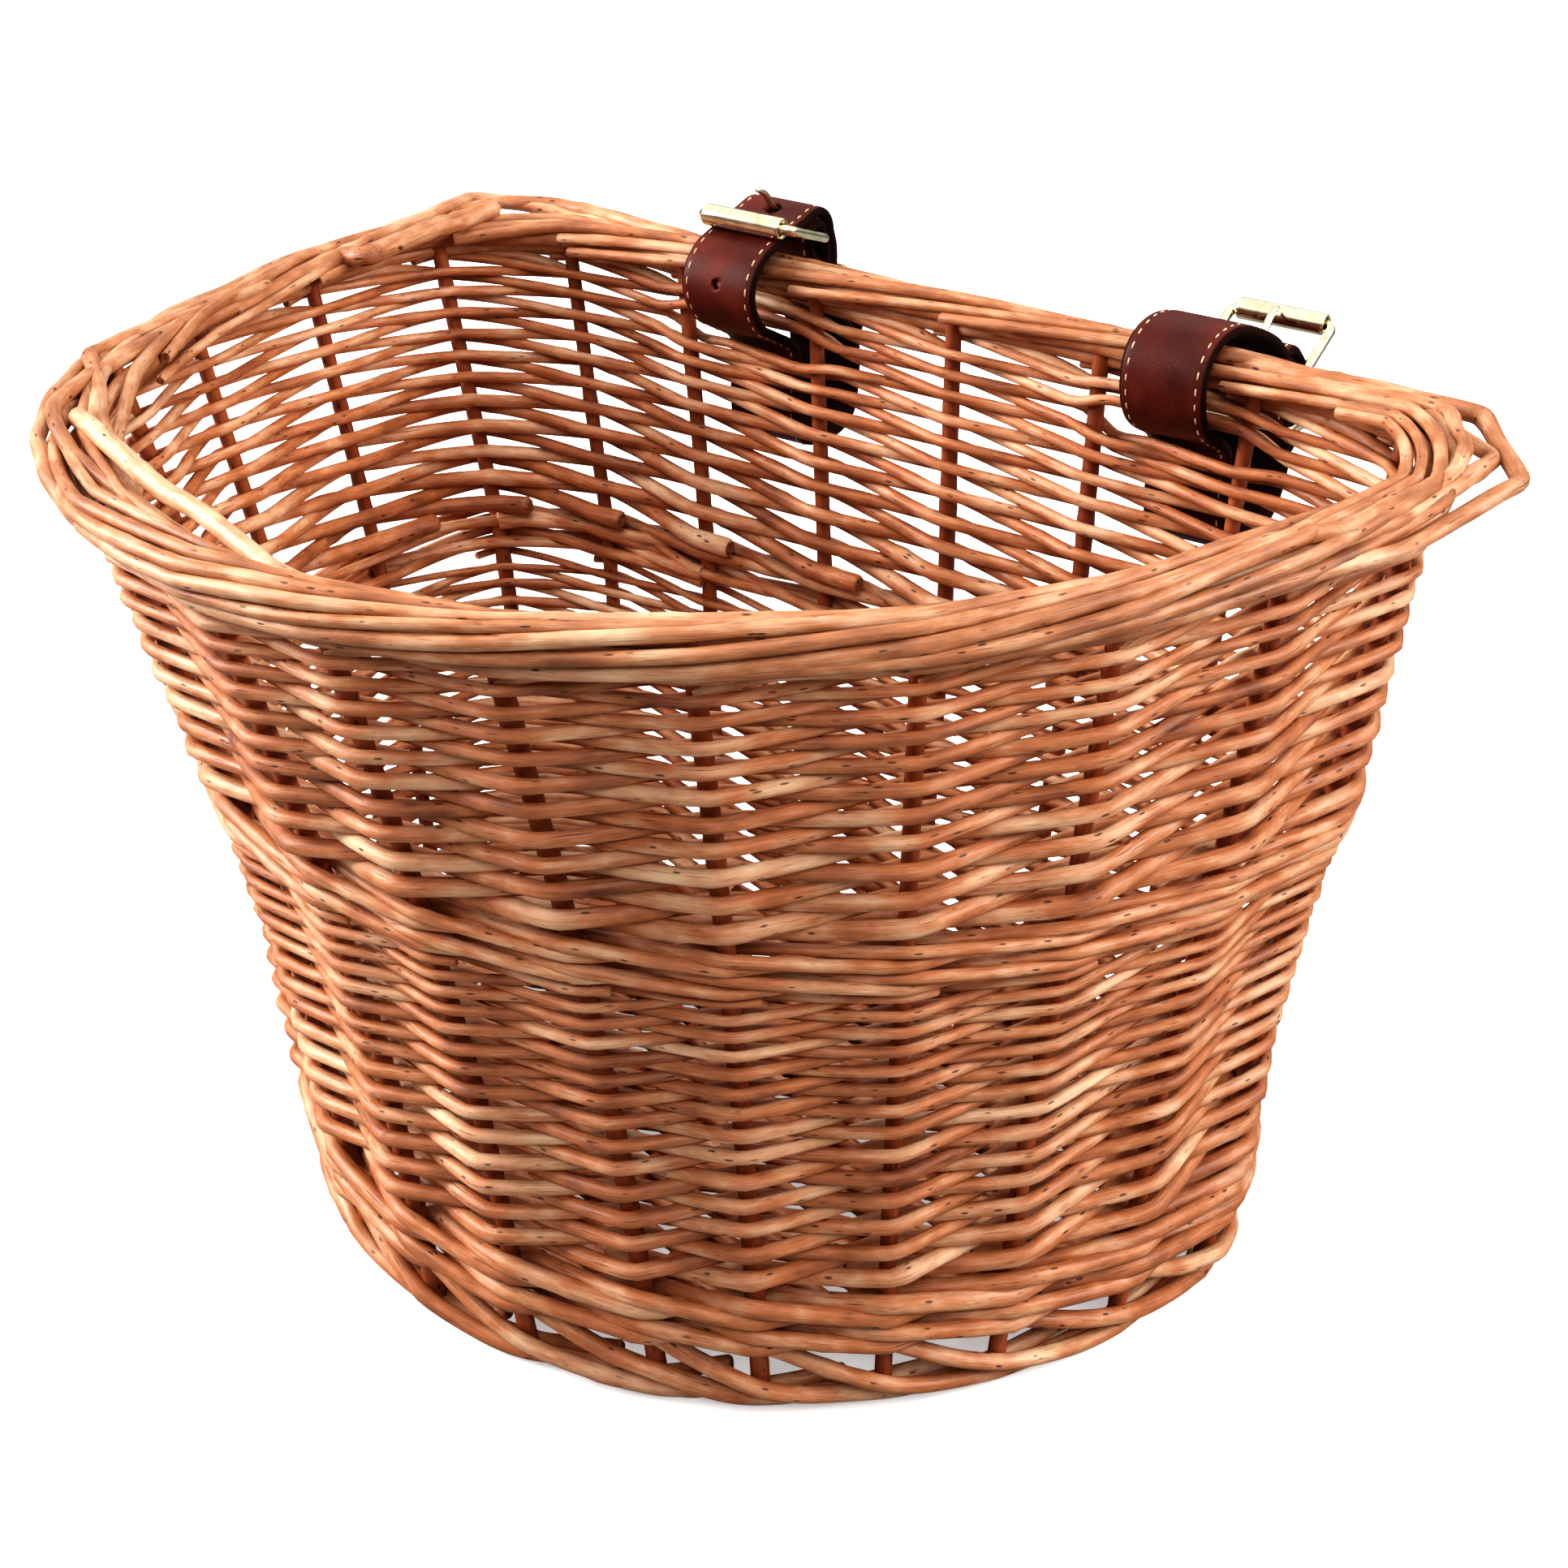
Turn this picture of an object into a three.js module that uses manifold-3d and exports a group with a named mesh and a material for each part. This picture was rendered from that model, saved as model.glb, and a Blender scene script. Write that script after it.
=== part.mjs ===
// D-shaped willow handlebar basket with two buckled leather straps.
// Millimetres, +Z up, -Y the bowed front, +Y the flat side that faces the
// handlebar. The origin is the middle of the overall box, at floor level.
import * as THREE from 'three';
import { mergeVertices } from 'three/addons/utils/BufferGeometryUtils.js';
import Module from 'manifold-3d';

const wasm = await Module();
wasm.setup();

// ---- driving dimensions ---------------------------------------------------
const HEIGHT = 243; // floor to the top of the rolled border
const SHIFT_X = 0.32; // moves the wall's own centre to the middle of the box
const SHIFT_Y = 102.83;

// the wall's centreline at three heights: half width, bow depth, back line y
const LEVELS = [
  { z: 4.6, a: 135.7, b: 184.0, y: -12.5, r: 31.0 },
  { z: 90, a: 145.3, b: 203.2, y: -9.4, r: 33.5 },
  { z: 148.3, a: 156.2, b: 222.8, y: -5.4, r: 35.5 },
  { z: 235, a: 165.6, b: 261.7, y: 0.0, r: 39.0 },
];
const BOW_P = 1.092; // exponents of the bowed front
const BOW_Q = 0.689;
const BOW_SKEW = -0.045; // the bow is slightly deeper towards -X
const RING_N = 60; // sections round the wall

const WALL_HALF = 5.2; // half thickness of the woven wall
const BANDS = {
  foot_border: [0, 19.7],
  lower_wale: [20.0, 39.7],
  lower_weave: [40.0, 137.7],
  mid_wale: [138.0, 151.7],
  upper_weave: [152.0, 225.7],
};
const BORDER = { z: HEIGHT - 8.4, half: 9.6, rise: 8.4 }; // rolled border section

// share of the way round the wall for each stake, at the rim and at the foot
const STAKES = [
  [0.0435, 0.044], [0.095, 0.096], [0.1467, 0.148], [0.1957, 0.1895],
  [0.2448, 0.232], [0.288, 0.268], [0.3281, 0.318], [0.3624, 0.3625],
  [0.41, 0.409], [0.458, 0.455], [0.506, 0.5], [0.5538, 0.545],
  [0.6127, 0.602], [0.666, 0.66], [0.7088, 0.7], [0.7505, 0.745],
  [0.7985, 0.7965], [0.8467, 0.843], [0.8949, 0.892], [0.9424, 0.94],
  [0.9905, 0.99],
];
const STAKE_R = 2.3;
const STAKE_FOOT = 5.0; // height of the stake's lower end
const STAKE_TOP = 236.0;
const GAP = 0.35;

const FLOOR_Z = [20.3, 29.3]; // woven floor
const STICK_X = [-96, -64, -32, 0, 32, 64, 96];
const STICK_R = 2.9;

const STRAP_W = 25;
const STRAP_T = 3.0;
const STRAP_LEFT_X = -62;
const STRAP_RIGHT_X = 77;
const WIRE_R = 1.5; // buckle frame wire
const FRAME_L = 21; // hinge bar to front bar
const FRAME_HALF = 15.3; // centre of the side wires
const ROLLER_R = 3.15;
const ROLLER_HALF = 13.3;
const EYE_R = 3.1; // centre radius of the prong's eye
const PRONG_R = 1.1;

// ---- materials -------------------------------------------------------------
const mat = (color, roughness, metalness) =>
  new THREE.MeshStandardMaterial({ color, roughness, metalness });
const WILLOW = mat(0xd9904a, 0.55, 0);
const WILLOW_PALE = mat(0xe6a765, 0.5, 0);
const WILLOW_DARK = mat(0xb8692c, 0.6, 0);
const LEATHER = mat(0x5a2318, 0.45, 0);
const NICKEL = mat(0xd8d2b8, 0.2, 1);

const group = new THREE.Group();
group.name = 'handlebar_basket';
const add = (name, geometry, material) => {
  geometry.translate(SHIFT_X, SHIFT_Y, 0);
  const m = new THREE.Mesh(geometry, material);
  m.name = name;
  group.add(m);
  return m;
};

// ---- solid helpers ---------------------------------------------------------
const toSolid = (geometry) => {
  let g = geometry.clone();
  g.deleteAttribute('normal');
  g.deleteAttribute('uv');
  g = mergeVertices(g, 1e-4);
  return new wasm.Manifold(
    new wasm.Mesh({
      numProp: 3,
      vertProperties: new Float32Array(g.attributes.position.array),
      triVerts: new Uint32Array(g.index.array),
    }),
  );
};
const toGeometry = (solid) => {
  const m = solid.getMesh();
  const g = new THREE.BufferGeometry();
  g.setAttribute('position', new THREE.BufferAttribute(new Float32Array(m.vertProperties), 3));
  g.setIndex(new THREE.BufferAttribute(new Uint32Array(m.triVerts), 1));
  return g;
};
const rawGeometry = (verts, tris) => {
  // turns the faces outward if their signed volume is negative
  let vol = 0;
  for (const [i, j, k] of tris) {
    const a = verts[i], b = verts[j], c = verts[k];
    vol +=
      a[0] * (b[1] * c[2] - b[2] * c[1]) -
      a[1] * (b[0] * c[2] - b[2] * c[0]) +
      a[2] * (b[0] * c[1] - b[1] * c[0]);
  }
  const g = new THREE.BufferGeometry();
  g.setAttribute('position', new THREE.BufferAttribute(new Float32Array(verts.flat()), 3));
  g.setIndex((vol < 0 ? tris.map(([i, j, k]) => [i, k, j]) : tris).flat());
  return g;
};

// a stack of equal-sided loops, either closed on itself or capped at both ends
const loft = (loops, closed) => {
  const n = loops[0].length;
  const verts = loops.flat();
  const tris = [];
  const m = loops.length;
  for (let s = 0; s < (closed ? m : m - 1); s++) {
    const t = (s + 1) % m;
    for (let i = 0; i < n; i++) {
      const j = (i + 1) % n;
      tris.push([s * n + i, s * n + j, t * n + j], [s * n + i, t * n + j, t * n + i]);
    }
  }
  if (!closed) {
    for (let i = 1; i < n - 1; i++) {
      tris.push([0, i + 1, i], [(m - 1) * n, (m - 1) * n + i, (m - 1) * n + i + 1]);
    }
  }
  return rawGeometry(verts, tris);
};

// ---- the wall's outline ----------------------------------------------------
const levelAt = (z) => {
  const L = LEVELS;
  let i = 0;
  while (i < L.length - 2 && z > L[i + 1].z) i++;
  const t = (z - L[i].z) / (L[i + 1].z - L[i].z);
  const mix = (k) => L[i][k] + (L[i + 1][k] - L[i][k]) * t;
  return { a: mix('a'), b: mix('b'), y: mix('y'), r: mix('r') };
};
const resample = (pts, shares) => {
  const n = pts.length;
  const s = [0];
  for (let i = 0; i < n; i++) {
    const p = pts[i], q = pts[(i + 1) % n];
    s.push(s[i] + Math.hypot(q[0] - p[0], q[1] - p[1]));
  }
  const total = s[n];
  return shares.map((f) => {
    const d = (((f % 1) + 1) % 1) * total;
    let i = 0;
    while (i < n - 1 && s[i + 1] < d) i++;
    const t = (d - s[i]) / (s[i + 1] - s[i]);
    const p = pts[i], q = pts[(i + 1) % n];
    return [p[0] + (q[0] - p[0]) * t, p[1] + (q[1] - p[1]) * t];
  });
};
const perimeter = (pts) =>
  pts.reduce((d, p, i) => {
    const q = pts[(i + 1) % pts.length];
    return d + Math.hypot(q[0] - p[0], q[1] - p[1]);
  }, 0);
const even = (n) => Array.from({ length: n }, (_, i) => i / n);
const fineCache = new Map();
const fineOutline = (z) => {
  const key = z.toFixed(3);
  if (fineCache.has(key)) return fineCache.get(key);
  const { a, b, y, r } = levelAt(z);
  const n = 360;
  let pts = [];
  for (let i = 0; i < n; i++) {
    const th = (Math.PI * i) / (n - 1);
    const c = Math.cos(th), s = Math.sin(th);
    pts.push([
      a * Math.sign(c) * Math.abs(c) ** BOW_P,
      y - b * Math.abs(s) ** BOW_Q * (1 + BOW_SKEW * c),
    ]);
  }
  for (let i = 1; i < n / 2 - 1; i++) pts.push([-a + (2 * a * i) / (n / 2 - 1), y]);
  pts = resample(pts, even(n));
  const step = perimeter(pts) / n;
  const sg = r / step;
  const w = [];
  const half = Math.ceil(4 * sg);
  for (let k = -half; k <= half; k++) w.push(Math.exp((-k * k) / (2 * sg * sg)));
  const sum = w.reduce((u, v) => u + v, 0);
  const out = pts.map((_, i) => {
    let x = 0, yy = 0;
    for (let k = -half; k <= half; k++) {
      const p = pts[(i + k + n * 8) % n];
      x += p[0] * w[k + half];
      yy += p[1] * w[k + half];
    }
    return [x / sum, yy / sum];
  });
  fineCache.set(key, out);
  return out;
};
// point and outward normal of the wall's centreline at a share of the way round
const wallAt = (z, shares) => {
  const fine = fineOutline(z);
  const e = 0.002;
  const p = resample(fine, shares);
  const lo = resample(fine, shares.map((f) => f - e));
  const hi = resample(fine, shares.map((f) => f + e));
  return p.map((q, i) => {
    const tx = hi[i][0] - lo[i][0], ty = hi[i][1] - lo[i][1];
    const l = Math.hypot(tx, ty);
    return { p: q, n: [-ty / l, tx / l] };
  });
};
// a ring round the wall whose section is a polygon of [offset, height] pairs
const ringSolid = (section, n = RING_N) => {
  const shares = even(n);
  const rows = section.map(([off, z]) =>
    wallAt(z, shares).map(({ p, n: m }) => [p[0] + m[0] * off, p[1] + m[1] * off, z]),
  );
  const loops = shares.map((_, i) => rows.map((row) => row[i]));
  return loft(loops, true);
};
// sign of the outward normal is checked once against the outline's middle
{
  const { p, n } = wallAt(100, [0.35])[0];
  if (n[0] * p[0] + n[1] * (p[1] + 100) < 0) throw new Error('normal points inward');
}

// ---- stakes ----------------------------------------------------------------
const stakePath = (i, lo, hi) => {
  const [top, bottom] = STAKES[i];
  const cuts = [lo, 40, 90, 148.3, hi];
  return cuts.map((z) => {
    const t = (z - 5) / (236 - 5);
    return [...wallAt(z, [bottom + (top - bottom) * t])[0].p, z];
  });
};
const rod = (path, radius, sides = 6) =>
  loft(
    path.map(([x, y, z]) =>
      Array.from({ length: sides }, (_, k) => {
        const t = (2 * Math.PI * (k + 0.5)) / sides;
        return [x + radius * Math.cos(t), y + radius * Math.sin(t), z];
      }),
    ),
    false,
  );
const stakes = STAKES.map((_, i) => rod(stakePath(i, STAKE_FOOT, STAKE_TOP), STAKE_R));
const tunnels = STAKES.map((_, i) =>
  toSolid(rod(stakePath(i, STAKE_FOOT - GAP, STAKE_TOP + GAP), STAKE_R + 0.45)),
);
const cutTunnels = (geometry, more = []) => {
  let s = toSolid(geometry);
  for (const t of [...tunnels, ...more]) s = s.subtract(t);
  return toGeometry(s);
};

// ---- straps: side profiles in (y, z) ---------------------------------------
const arc = (cy, cz, r, from, to, steps) =>
  Array.from({ length: steps + 1 }, (_, i) => {
    const t = ((from + ((to - from) * i) / steps) * Math.PI) / 180;
    return [cy + r * Math.cos(t), cz + r * Math.sin(t)];
  });
const FOLD_R = 3.75; // leather centreline round the hinge bar
const TAIL_R = FOLD_R + STRAP_T + 0.4;

const LEFT = {
  hinge: [14.5, 245.0],
  frameAngle: 161.5, // from the hinge bar to the front bar, degrees from +Y
  prongAngle: 127,
  keeper: { z: 233.0, inner: 14.0, outer: 26.8 },
};
LEFT.path = [
  [17.0, 227.5], // stitched end of the fold
  [17.0, 235.5],
  [12.6, 240.0],
  ...arc(...LEFT.hinge, FOLD_R, 205, -5, 8),
  [19.9, 240.5],
  [20.4, 236.5], // the leg, down behind the border
  [20.4, 226.5],
  [24.0, 221.0],
  [31.0, 215.5],
  [36.0, 210.5],
  [37.6, 202.5],
  [37.2, 193.5],
  [35.4, 186.8],
  [30.0, 183.0], // flat seat under the handlebar
  [14.5, 183.0],
  [8.6, 186.6],
  [6.7, 193.5],
  [6.8, 206.0],
  [5.6, 213.4],
  [-5.6, 220.2], // through the wall
  [-11.5, 223.4],
  [-16.0, 229.0],
  [-17.6, 235.0],
  [-15.6, 240.6],
  [-11.0, 244.6],
  [-5.2, 246.7], // under the roller
  [1.5, 248.9],
  [7.5, 250.4],
  ...arc(...LEFT.hinge, TAIL_R, 100, 5, 5),
  [23.3, 241.0],
  [23.8, 237.0],
  [23.8, 227.6],
  [26.6, 223.6],
  [33.4, 218.2],
  [38.9, 212.6],
  [40.6, 206.0],
];
const RIGHT = {
  hinge: [39.6, 224.7],
  frameAngle: 29.2,
  prongAngle: 50,
  keeper: { z: 209.5, inner: 37.9, outer: 50.7 },
};
RIGHT.path = [
  [40.9, 205.0],
  [40.9, 212.8],
  [37.9, 217.8],
  ...arc(...RIGHT.hinge, FOLD_R, 195, -5, 8),
  [44.3, 219.5],
  [44.3, 204.0],
  [43.0, 194.5],
  [38.4, 187.0],
  [31.5, 183.0],
  [15.0, 183.0],
  [8.8, 186.6],
  [6.8, 193.5],
  [6.8, 206.0],
  [5.6, 212.8],
  [-5.6, 219.6],
  [-9.5, 223.2],
  [-12.3, 229.5],
  [-12.6, 236.0],
  [-10.2, 241.6],
  [-5.2, 244.9],
  [2.0, 246.0],
  [10.0, 244.9],
  [20.0, 241.4],
  [30.0, 236.8],
  ...arc(...RIGHT.hinge, TAIL_R, 108, 40, 3),
  [49.4, 224.6],
  [49.8, 219.0],
  [47.7, 214.0],
  [47.7, 203.0],
  [46.8, 196.5],
];

// thickens an open side profile into a closed outline with mitred corners
const thicken = (path, t) => {
  const left = [], right = [];
  path.forEach((p, i) => {
    const a = path[Math.max(i - 1, 0)], b = path[Math.min(i + 1, path.length - 1)];
    const d1 = i > 0 ? new THREE.Vector2(p[0] - a[0], p[1] - a[1]).normalize() : null;
    const d2 = i < path.length - 1 ? new THREE.Vector2(b[0] - p[0], b[1] - p[1]).normalize() : null;
    const n1 = d1 ? new THREE.Vector2(-d1.y, d1.x) : null;
    const n2 = d2 ? new THREE.Vector2(-d2.y, d2.x) : null;
    const n = n1 && n2 ? n1.clone().add(n2).normalize() : (n1 || n2).clone();
    const k = n1 && n2 ? Math.min(1 / n.dot(n1), 1.3) : 1;
    left.push(new THREE.Vector2(p[0] + (n.x * k * t) / 2, p[1] + (n.y * k * t) / 2));
    right.push(new THREE.Vector2(p[0] - (n.x * k * t) / 2, p[1] - (n.y * k * t) / 2));
  });
  return [...left, ...right.reverse()];
};
// extrudes a (y, z) outline along X
const acrossX = (outline, x0, x1) => {
  const g = new THREE.ExtrudeGeometry(new THREE.Shape(outline), {
    depth: x1 - x0,
    bevelEnabled: false,
    steps: 1,
  });
  const m = new THREE.Matrix4().makeBasis(
    new THREE.Vector3(0, 1, 0),
    new THREE.Vector3(0, 0, 1),
    new THREE.Vector3(1, 0, 0),
  );
  g.applyMatrix4(m);
  g.translate(x0, 0, 0);
  return g;
};
// a cylinder from one (y, z) point to another, in the plane x
const pinBetween = (x, p, q, r, sides = 8) => {
  const a = new THREE.Vector3(x, p[0], p[1]), b = new THREE.Vector3(x, q[0], q[1]);
  const g = new THREE.CylinderGeometry(r, r, a.distanceTo(b), sides, 1);
  const quat = new THREE.Quaternion().setFromUnitVectors(
    new THREE.Vector3(0, 1, 0),
    b.clone().sub(a).normalize(),
  );
  g.applyQuaternion(quat);
  const c = a.clone().add(b).multiplyScalar(0.5);
  g.translate(c.x, c.y, c.z);
  return g;
};
const polar = ([y, z], r, deg) => [
  y + r * Math.cos((deg * Math.PI) / 180),
  z + r * Math.sin((deg * Math.PI) / 180),
];

const strapSolid = (S, x, punch) => {
  let s = toSolid(acrossX(thicken(S.path, STRAP_T), x - STRAP_W / 2, x + STRAP_W / 2));
  // slot in the fold for the prong's eye
  const slot = new THREE.CylinderGeometry(FOLD_R + STRAP_T / 2 + 0.2, FOLD_R + STRAP_T / 2 + 0.2, 3.8, 16, 1);
  slot.rotateZ(Math.PI / 2);
  slot.translate(x, ...S.hinge);
  s = s.subtract(toSolid(slot));
  // the hole the prong stands in
  s = s.subtract(
    toSolid(pinBetween(x, polar(S.hinge, 3.4, S.prongAngle), polar(S.hinge, 12, S.prongAngle), PRONG_R + 1.3)),
  );
  for (const [p, q] of punch) s = s.subtract(toSolid(pinBetween(x, p, q, 1.7)));
  return toGeometry(s);
};

// closed loop of wire through 3-D points, round section
const wireLoop = (pts, r, normal, sides = 8) => {
  const m = pts.length;
  const nrm = new THREE.Vector3(...normal).normalize();
  const loops = pts.map((p, i) => {
    const a = new THREE.Vector3(...pts[(i + m - 1) % m]);
    const b = new THREE.Vector3(...pts[(i + 1) % m]);
    const d = b.sub(a).normalize();
    const side = new THREE.Vector3().crossVectors(nrm, d).normalize();
    return Array.from({ length: sides }, (_, k) => {
      const t = (2 * Math.PI * (k + 0.5)) / sides;
      return [
        p[0] + r * (Math.cos(t) * side.x + Math.sin(t) * nrm.x),
        p[1] + r * (Math.cos(t) * side.y + Math.sin(t) * nrm.y),
        p[2] + r * (Math.cos(t) * side.z + Math.sin(t) * nrm.z),
      ];
    });
  });
  return loft(loops, true);
};
// rounded rectangle in local (u, v), placed by two unit vectors
const roundedLoop = (centre, u, v, hu, hv, rad, steps = 3) => {
  const pts = [];
  [[1, 1, 0], [-1, 1, 90], [-1, -1, 180], [1, -1, 270]].forEach(([su, sv, a0]) => {
    for (let i = 0; i <= steps; i++) {
      const t = ((a0 + (90 * i) / steps) * Math.PI) / 180;
      const lu = su * (hu - rad) + rad * Math.cos(t);
      const lv = sv * (hv - rad) + rad * Math.sin(t);
      pts.push([0, 1, 2].map((k) => centre[k] + u[k] * lu + v[k] * lv));
    }
  });
  return pts;
};
const frameSolid = (S, x) => {
  const t = (S.frameAngle * Math.PI) / 180;
  const dir = [0, Math.cos(t), Math.sin(t)];
  const c = [x, S.hinge[0] + (dir[1] * FRAME_L) / 2, S.hinge[1] + (dir[2] * FRAME_L) / 2];
  const pts = roundedLoop(c, [1, 0, 0], dir, FRAME_HALF, FRAME_L / 2, 1.9);
  return wireLoop(pts, WIRE_R, [0, -dir[2], dir[1]]);
};
const rollerSolid = (S, x) => {
  const [y, z] = polar(S.hinge, FRAME_L, S.frameAngle);
  const g = new THREE.LatheGeometry(
    [
      [WIRE_R + 0.55, -ROLLER_HALF],
      [ROLLER_R, -ROLLER_HALF],
      [ROLLER_R, ROLLER_HALF],
      [WIRE_R + 0.55, ROLLER_HALF],
      [WIRE_R + 0.55, -ROLLER_HALF],
    ].map(([r, h]) => new THREE.Vector2(r, h)),
    14,
  );
  g.rotateZ(-Math.PI / 2);
  g.translate(x, y, z);
  return g;
};
const prongSolid = (S, x, curl) => {
  const eye = new THREE.TorusGeometry(EYE_R, PRONG_R, 6, 16);
  eye.rotateY(Math.PI / 2);
  eye.translate(x, ...S.hinge);
  // the tongue leaves the eye square to it and curls at its tip
  const a = S.prongAngle;
  const loops = [
    [EYE_R, 0, 1.0], [8, 0, 1.1], [13, 0, 1.1], [16.2, 0.14, 1.0], [18.6, 0.5, 0.8], [19.9, 0.85, 0.45],
  ].map(([r, bend, rad]) => {
    const p = polar(S.hinge, r, a);
    const side = [Math.cos(((a + 90) * Math.PI) / 180), Math.sin(((a + 90) * Math.PI) / 180)];
    const c = [p[0] + side[0] * bend * curl * 3, p[1] + side[1] * bend * curl * 3];
    return Array.from({ length: 6 }, (_, k) => {
      const t = (2 * Math.PI * k) / 6;
      return [x + rad * Math.cos(t), c[0] + side[0] * rad * Math.sin(t), c[1] + side[1] * rad * Math.sin(t)];
    });
  });
  return toGeometry(toSolid(eye).add(toSolid(loft(loops, false))));
};
const keeperSolid = (S, x) => {
  const { inner, outer } = S.keeper;
  // a loop of thin wire round the fold's end, the leg and the tail
  const c = [x, (inner + outer) / 2, S.keeper.z];
  const pts = roundedLoop(c, [1, 0, 0], [0, 1, 0], STRAP_W / 2 + 1.6, (outer - inner) / 2, 1.4);
  return wireLoop(pts, 1.0, [0, 0, 1], 6);
};

// ---- woven bands -----------------------------------------------------------
const strapSlot = (x, S) => {
  // inclined opening where the strap passes through the wall
  const i = S.path.findIndex(([y]) => y === -5.6);
  const [p, q] = [S.path[i - 1], S.path[i]];
  const g = new THREE.BoxGeometry(STRAP_W + 8.4, 30, STRAP_T + 1.6);
  g.rotateX(Math.atan2(q[1] - p[1], q[0] - p[0]) + Math.PI);
  g.translate(x, (p[0] + q[0]) / 2, (p[1] + q[1]) / 2);
  return toSolid(g);
};
const band = ([z0, z1], w = WALL_HALF, mids = []) => {
  const zs = [z0, ...mids, z1];
  return ringSolid([...zs.map((z) => [w, z]), ...zs.slice().reverse().map((z) => [-w, z])]);
};
add('foot_border', cutTunnels(ringSolid([
  [-4.4, 0], [4.4, 0], [6.8, 6], [6.0, BANDS.foot_border[1]],
  [-6.0, BANDS.foot_border[1]], [-6.8, 6],
])), WILLOW);
add('lower_wale', cutTunnels(band(BANDS.lower_wale, 6.0)), WILLOW_PALE);
add('lower_weave', cutTunnels(band(BANDS.lower_weave, WALL_HALF, [90])), WILLOW);
add('mid_wale', cutTunnels(band(BANDS.mid_wale, 6.4)), WILLOW_PALE);
add('upper_weave', cutTunnels(band(BANDS.upper_weave), [
  strapSlot(STRAP_LEFT_X, LEFT),
  strapSlot(STRAP_RIGHT_X, RIGHT),
]), WILLOW);
{
  const { z, half, rise } = BORDER;
  const section = Array.from({ length: 8 }, (_, k) => {
    const t = (2 * Math.PI * (k + 0.5)) / 8;
    return [(half * Math.cos(t)) / Math.cos(Math.PI / 8), z + (rise * Math.sin(t)) / Math.cos(Math.PI / 8)];
  });
  add('rim_border', cutTunnels(ringSolid(section)), WILLOW_PALE);
}
stakes.forEach((g, i) => add(`stake_${String(i + 1).padStart(2, '0')}`, g, WILLOW_DARK));

// ---- floor -----------------------------------------------------------------
{
  const zf = (FLOOR_Z[0] + FLOOR_Z[1]) / 2;
  const edge = wallAt(FLOOR_Z[0], even(60)).map(({ p, n }) => new THREE.Vector2(p[0] - n[0] * 7.4, p[1] - n[1] * 7.4));
  const g = new THREE.ExtrudeGeometry(new THREE.Shape(edge), {
    depth: FLOOR_Z[1] - FLOOR_Z[0],
    bevelEnabled: false,
    steps: 1,
  });
  g.translate(0, 0, FLOOR_Z[0]);
  let s = toSolid(g);
  const near = (x, y0, y1) =>
    edge.filter((e) => Math.abs(e.x - x) < 10 && e.y > y0 && e.y < y1).map((e) => e.y);
  const front = (x) => Math.max(...near(x, -400, -100));
  const back = (x) => Math.min(...near(x, -60, 100));
  const sticks = STICK_X.map((x) => {
    const y0 = front(x) + 1, y1 = back(x) - 1.5;
    const bar = (r, grow) => {
      const c = new THREE.CylinderGeometry(r, r, y1 - y0 + 2 * grow, 6, 1);
      c.translate(x, (y0 + y1) / 2, 0);
      c.translate(0, 0, zf);
      return c;
    };
    s = s.subtract(toSolid(bar(STICK_R + 0.4, 30)));
    return bar(STICK_R, 0);
  });
  add('base_weave', toGeometry(s), WILLOW_PALE);
  sticks.forEach((b, i) => add(`base_stick_${i + 1}`, b, WILLOW_DARK));
}

// ---- straps and buckles ----------------------------------------------------
const sides = [
  ['left', LEFT, STRAP_LEFT_X, [[[-20, 236.6], [-13, 234.6]]], 1],
  ['right', RIGHT, STRAP_RIGHT_X, [[[11.5, 240], [13.8, 248]]], -1],
];
for (const [name, S, x, punch, curl] of sides) {
  add(`strap_${name}`, strapSolid(S, x, punch), LEATHER);
  add(`buckle_frame_${name}`, frameSolid(S, x), NICKEL);
  add(`buckle_roller_${name}`, rollerSolid(S, x), NICKEL);
  add(`buckle_prong_${name}`, prongSolid(S, x, curl), NICKEL);
  add(`keeper_${name}`, keeperSolid(S, x), NICKEL);
}

export default group;
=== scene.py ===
import math

import bpy
import numpy as np
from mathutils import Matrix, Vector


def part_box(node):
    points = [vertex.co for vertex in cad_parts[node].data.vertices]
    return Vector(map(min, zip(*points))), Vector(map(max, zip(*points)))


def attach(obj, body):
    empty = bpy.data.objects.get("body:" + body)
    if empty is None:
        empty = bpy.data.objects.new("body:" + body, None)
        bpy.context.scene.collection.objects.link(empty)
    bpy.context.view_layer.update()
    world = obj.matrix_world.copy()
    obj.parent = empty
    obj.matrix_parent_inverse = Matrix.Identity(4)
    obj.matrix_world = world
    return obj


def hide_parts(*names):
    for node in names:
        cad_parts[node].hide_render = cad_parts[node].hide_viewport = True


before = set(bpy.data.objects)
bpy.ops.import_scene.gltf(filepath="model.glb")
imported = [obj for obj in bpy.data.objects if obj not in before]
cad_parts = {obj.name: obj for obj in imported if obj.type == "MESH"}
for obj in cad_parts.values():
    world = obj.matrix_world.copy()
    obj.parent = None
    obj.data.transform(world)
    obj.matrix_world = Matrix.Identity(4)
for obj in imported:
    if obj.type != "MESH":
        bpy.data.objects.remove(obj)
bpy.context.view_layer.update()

MM = 0.001

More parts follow.
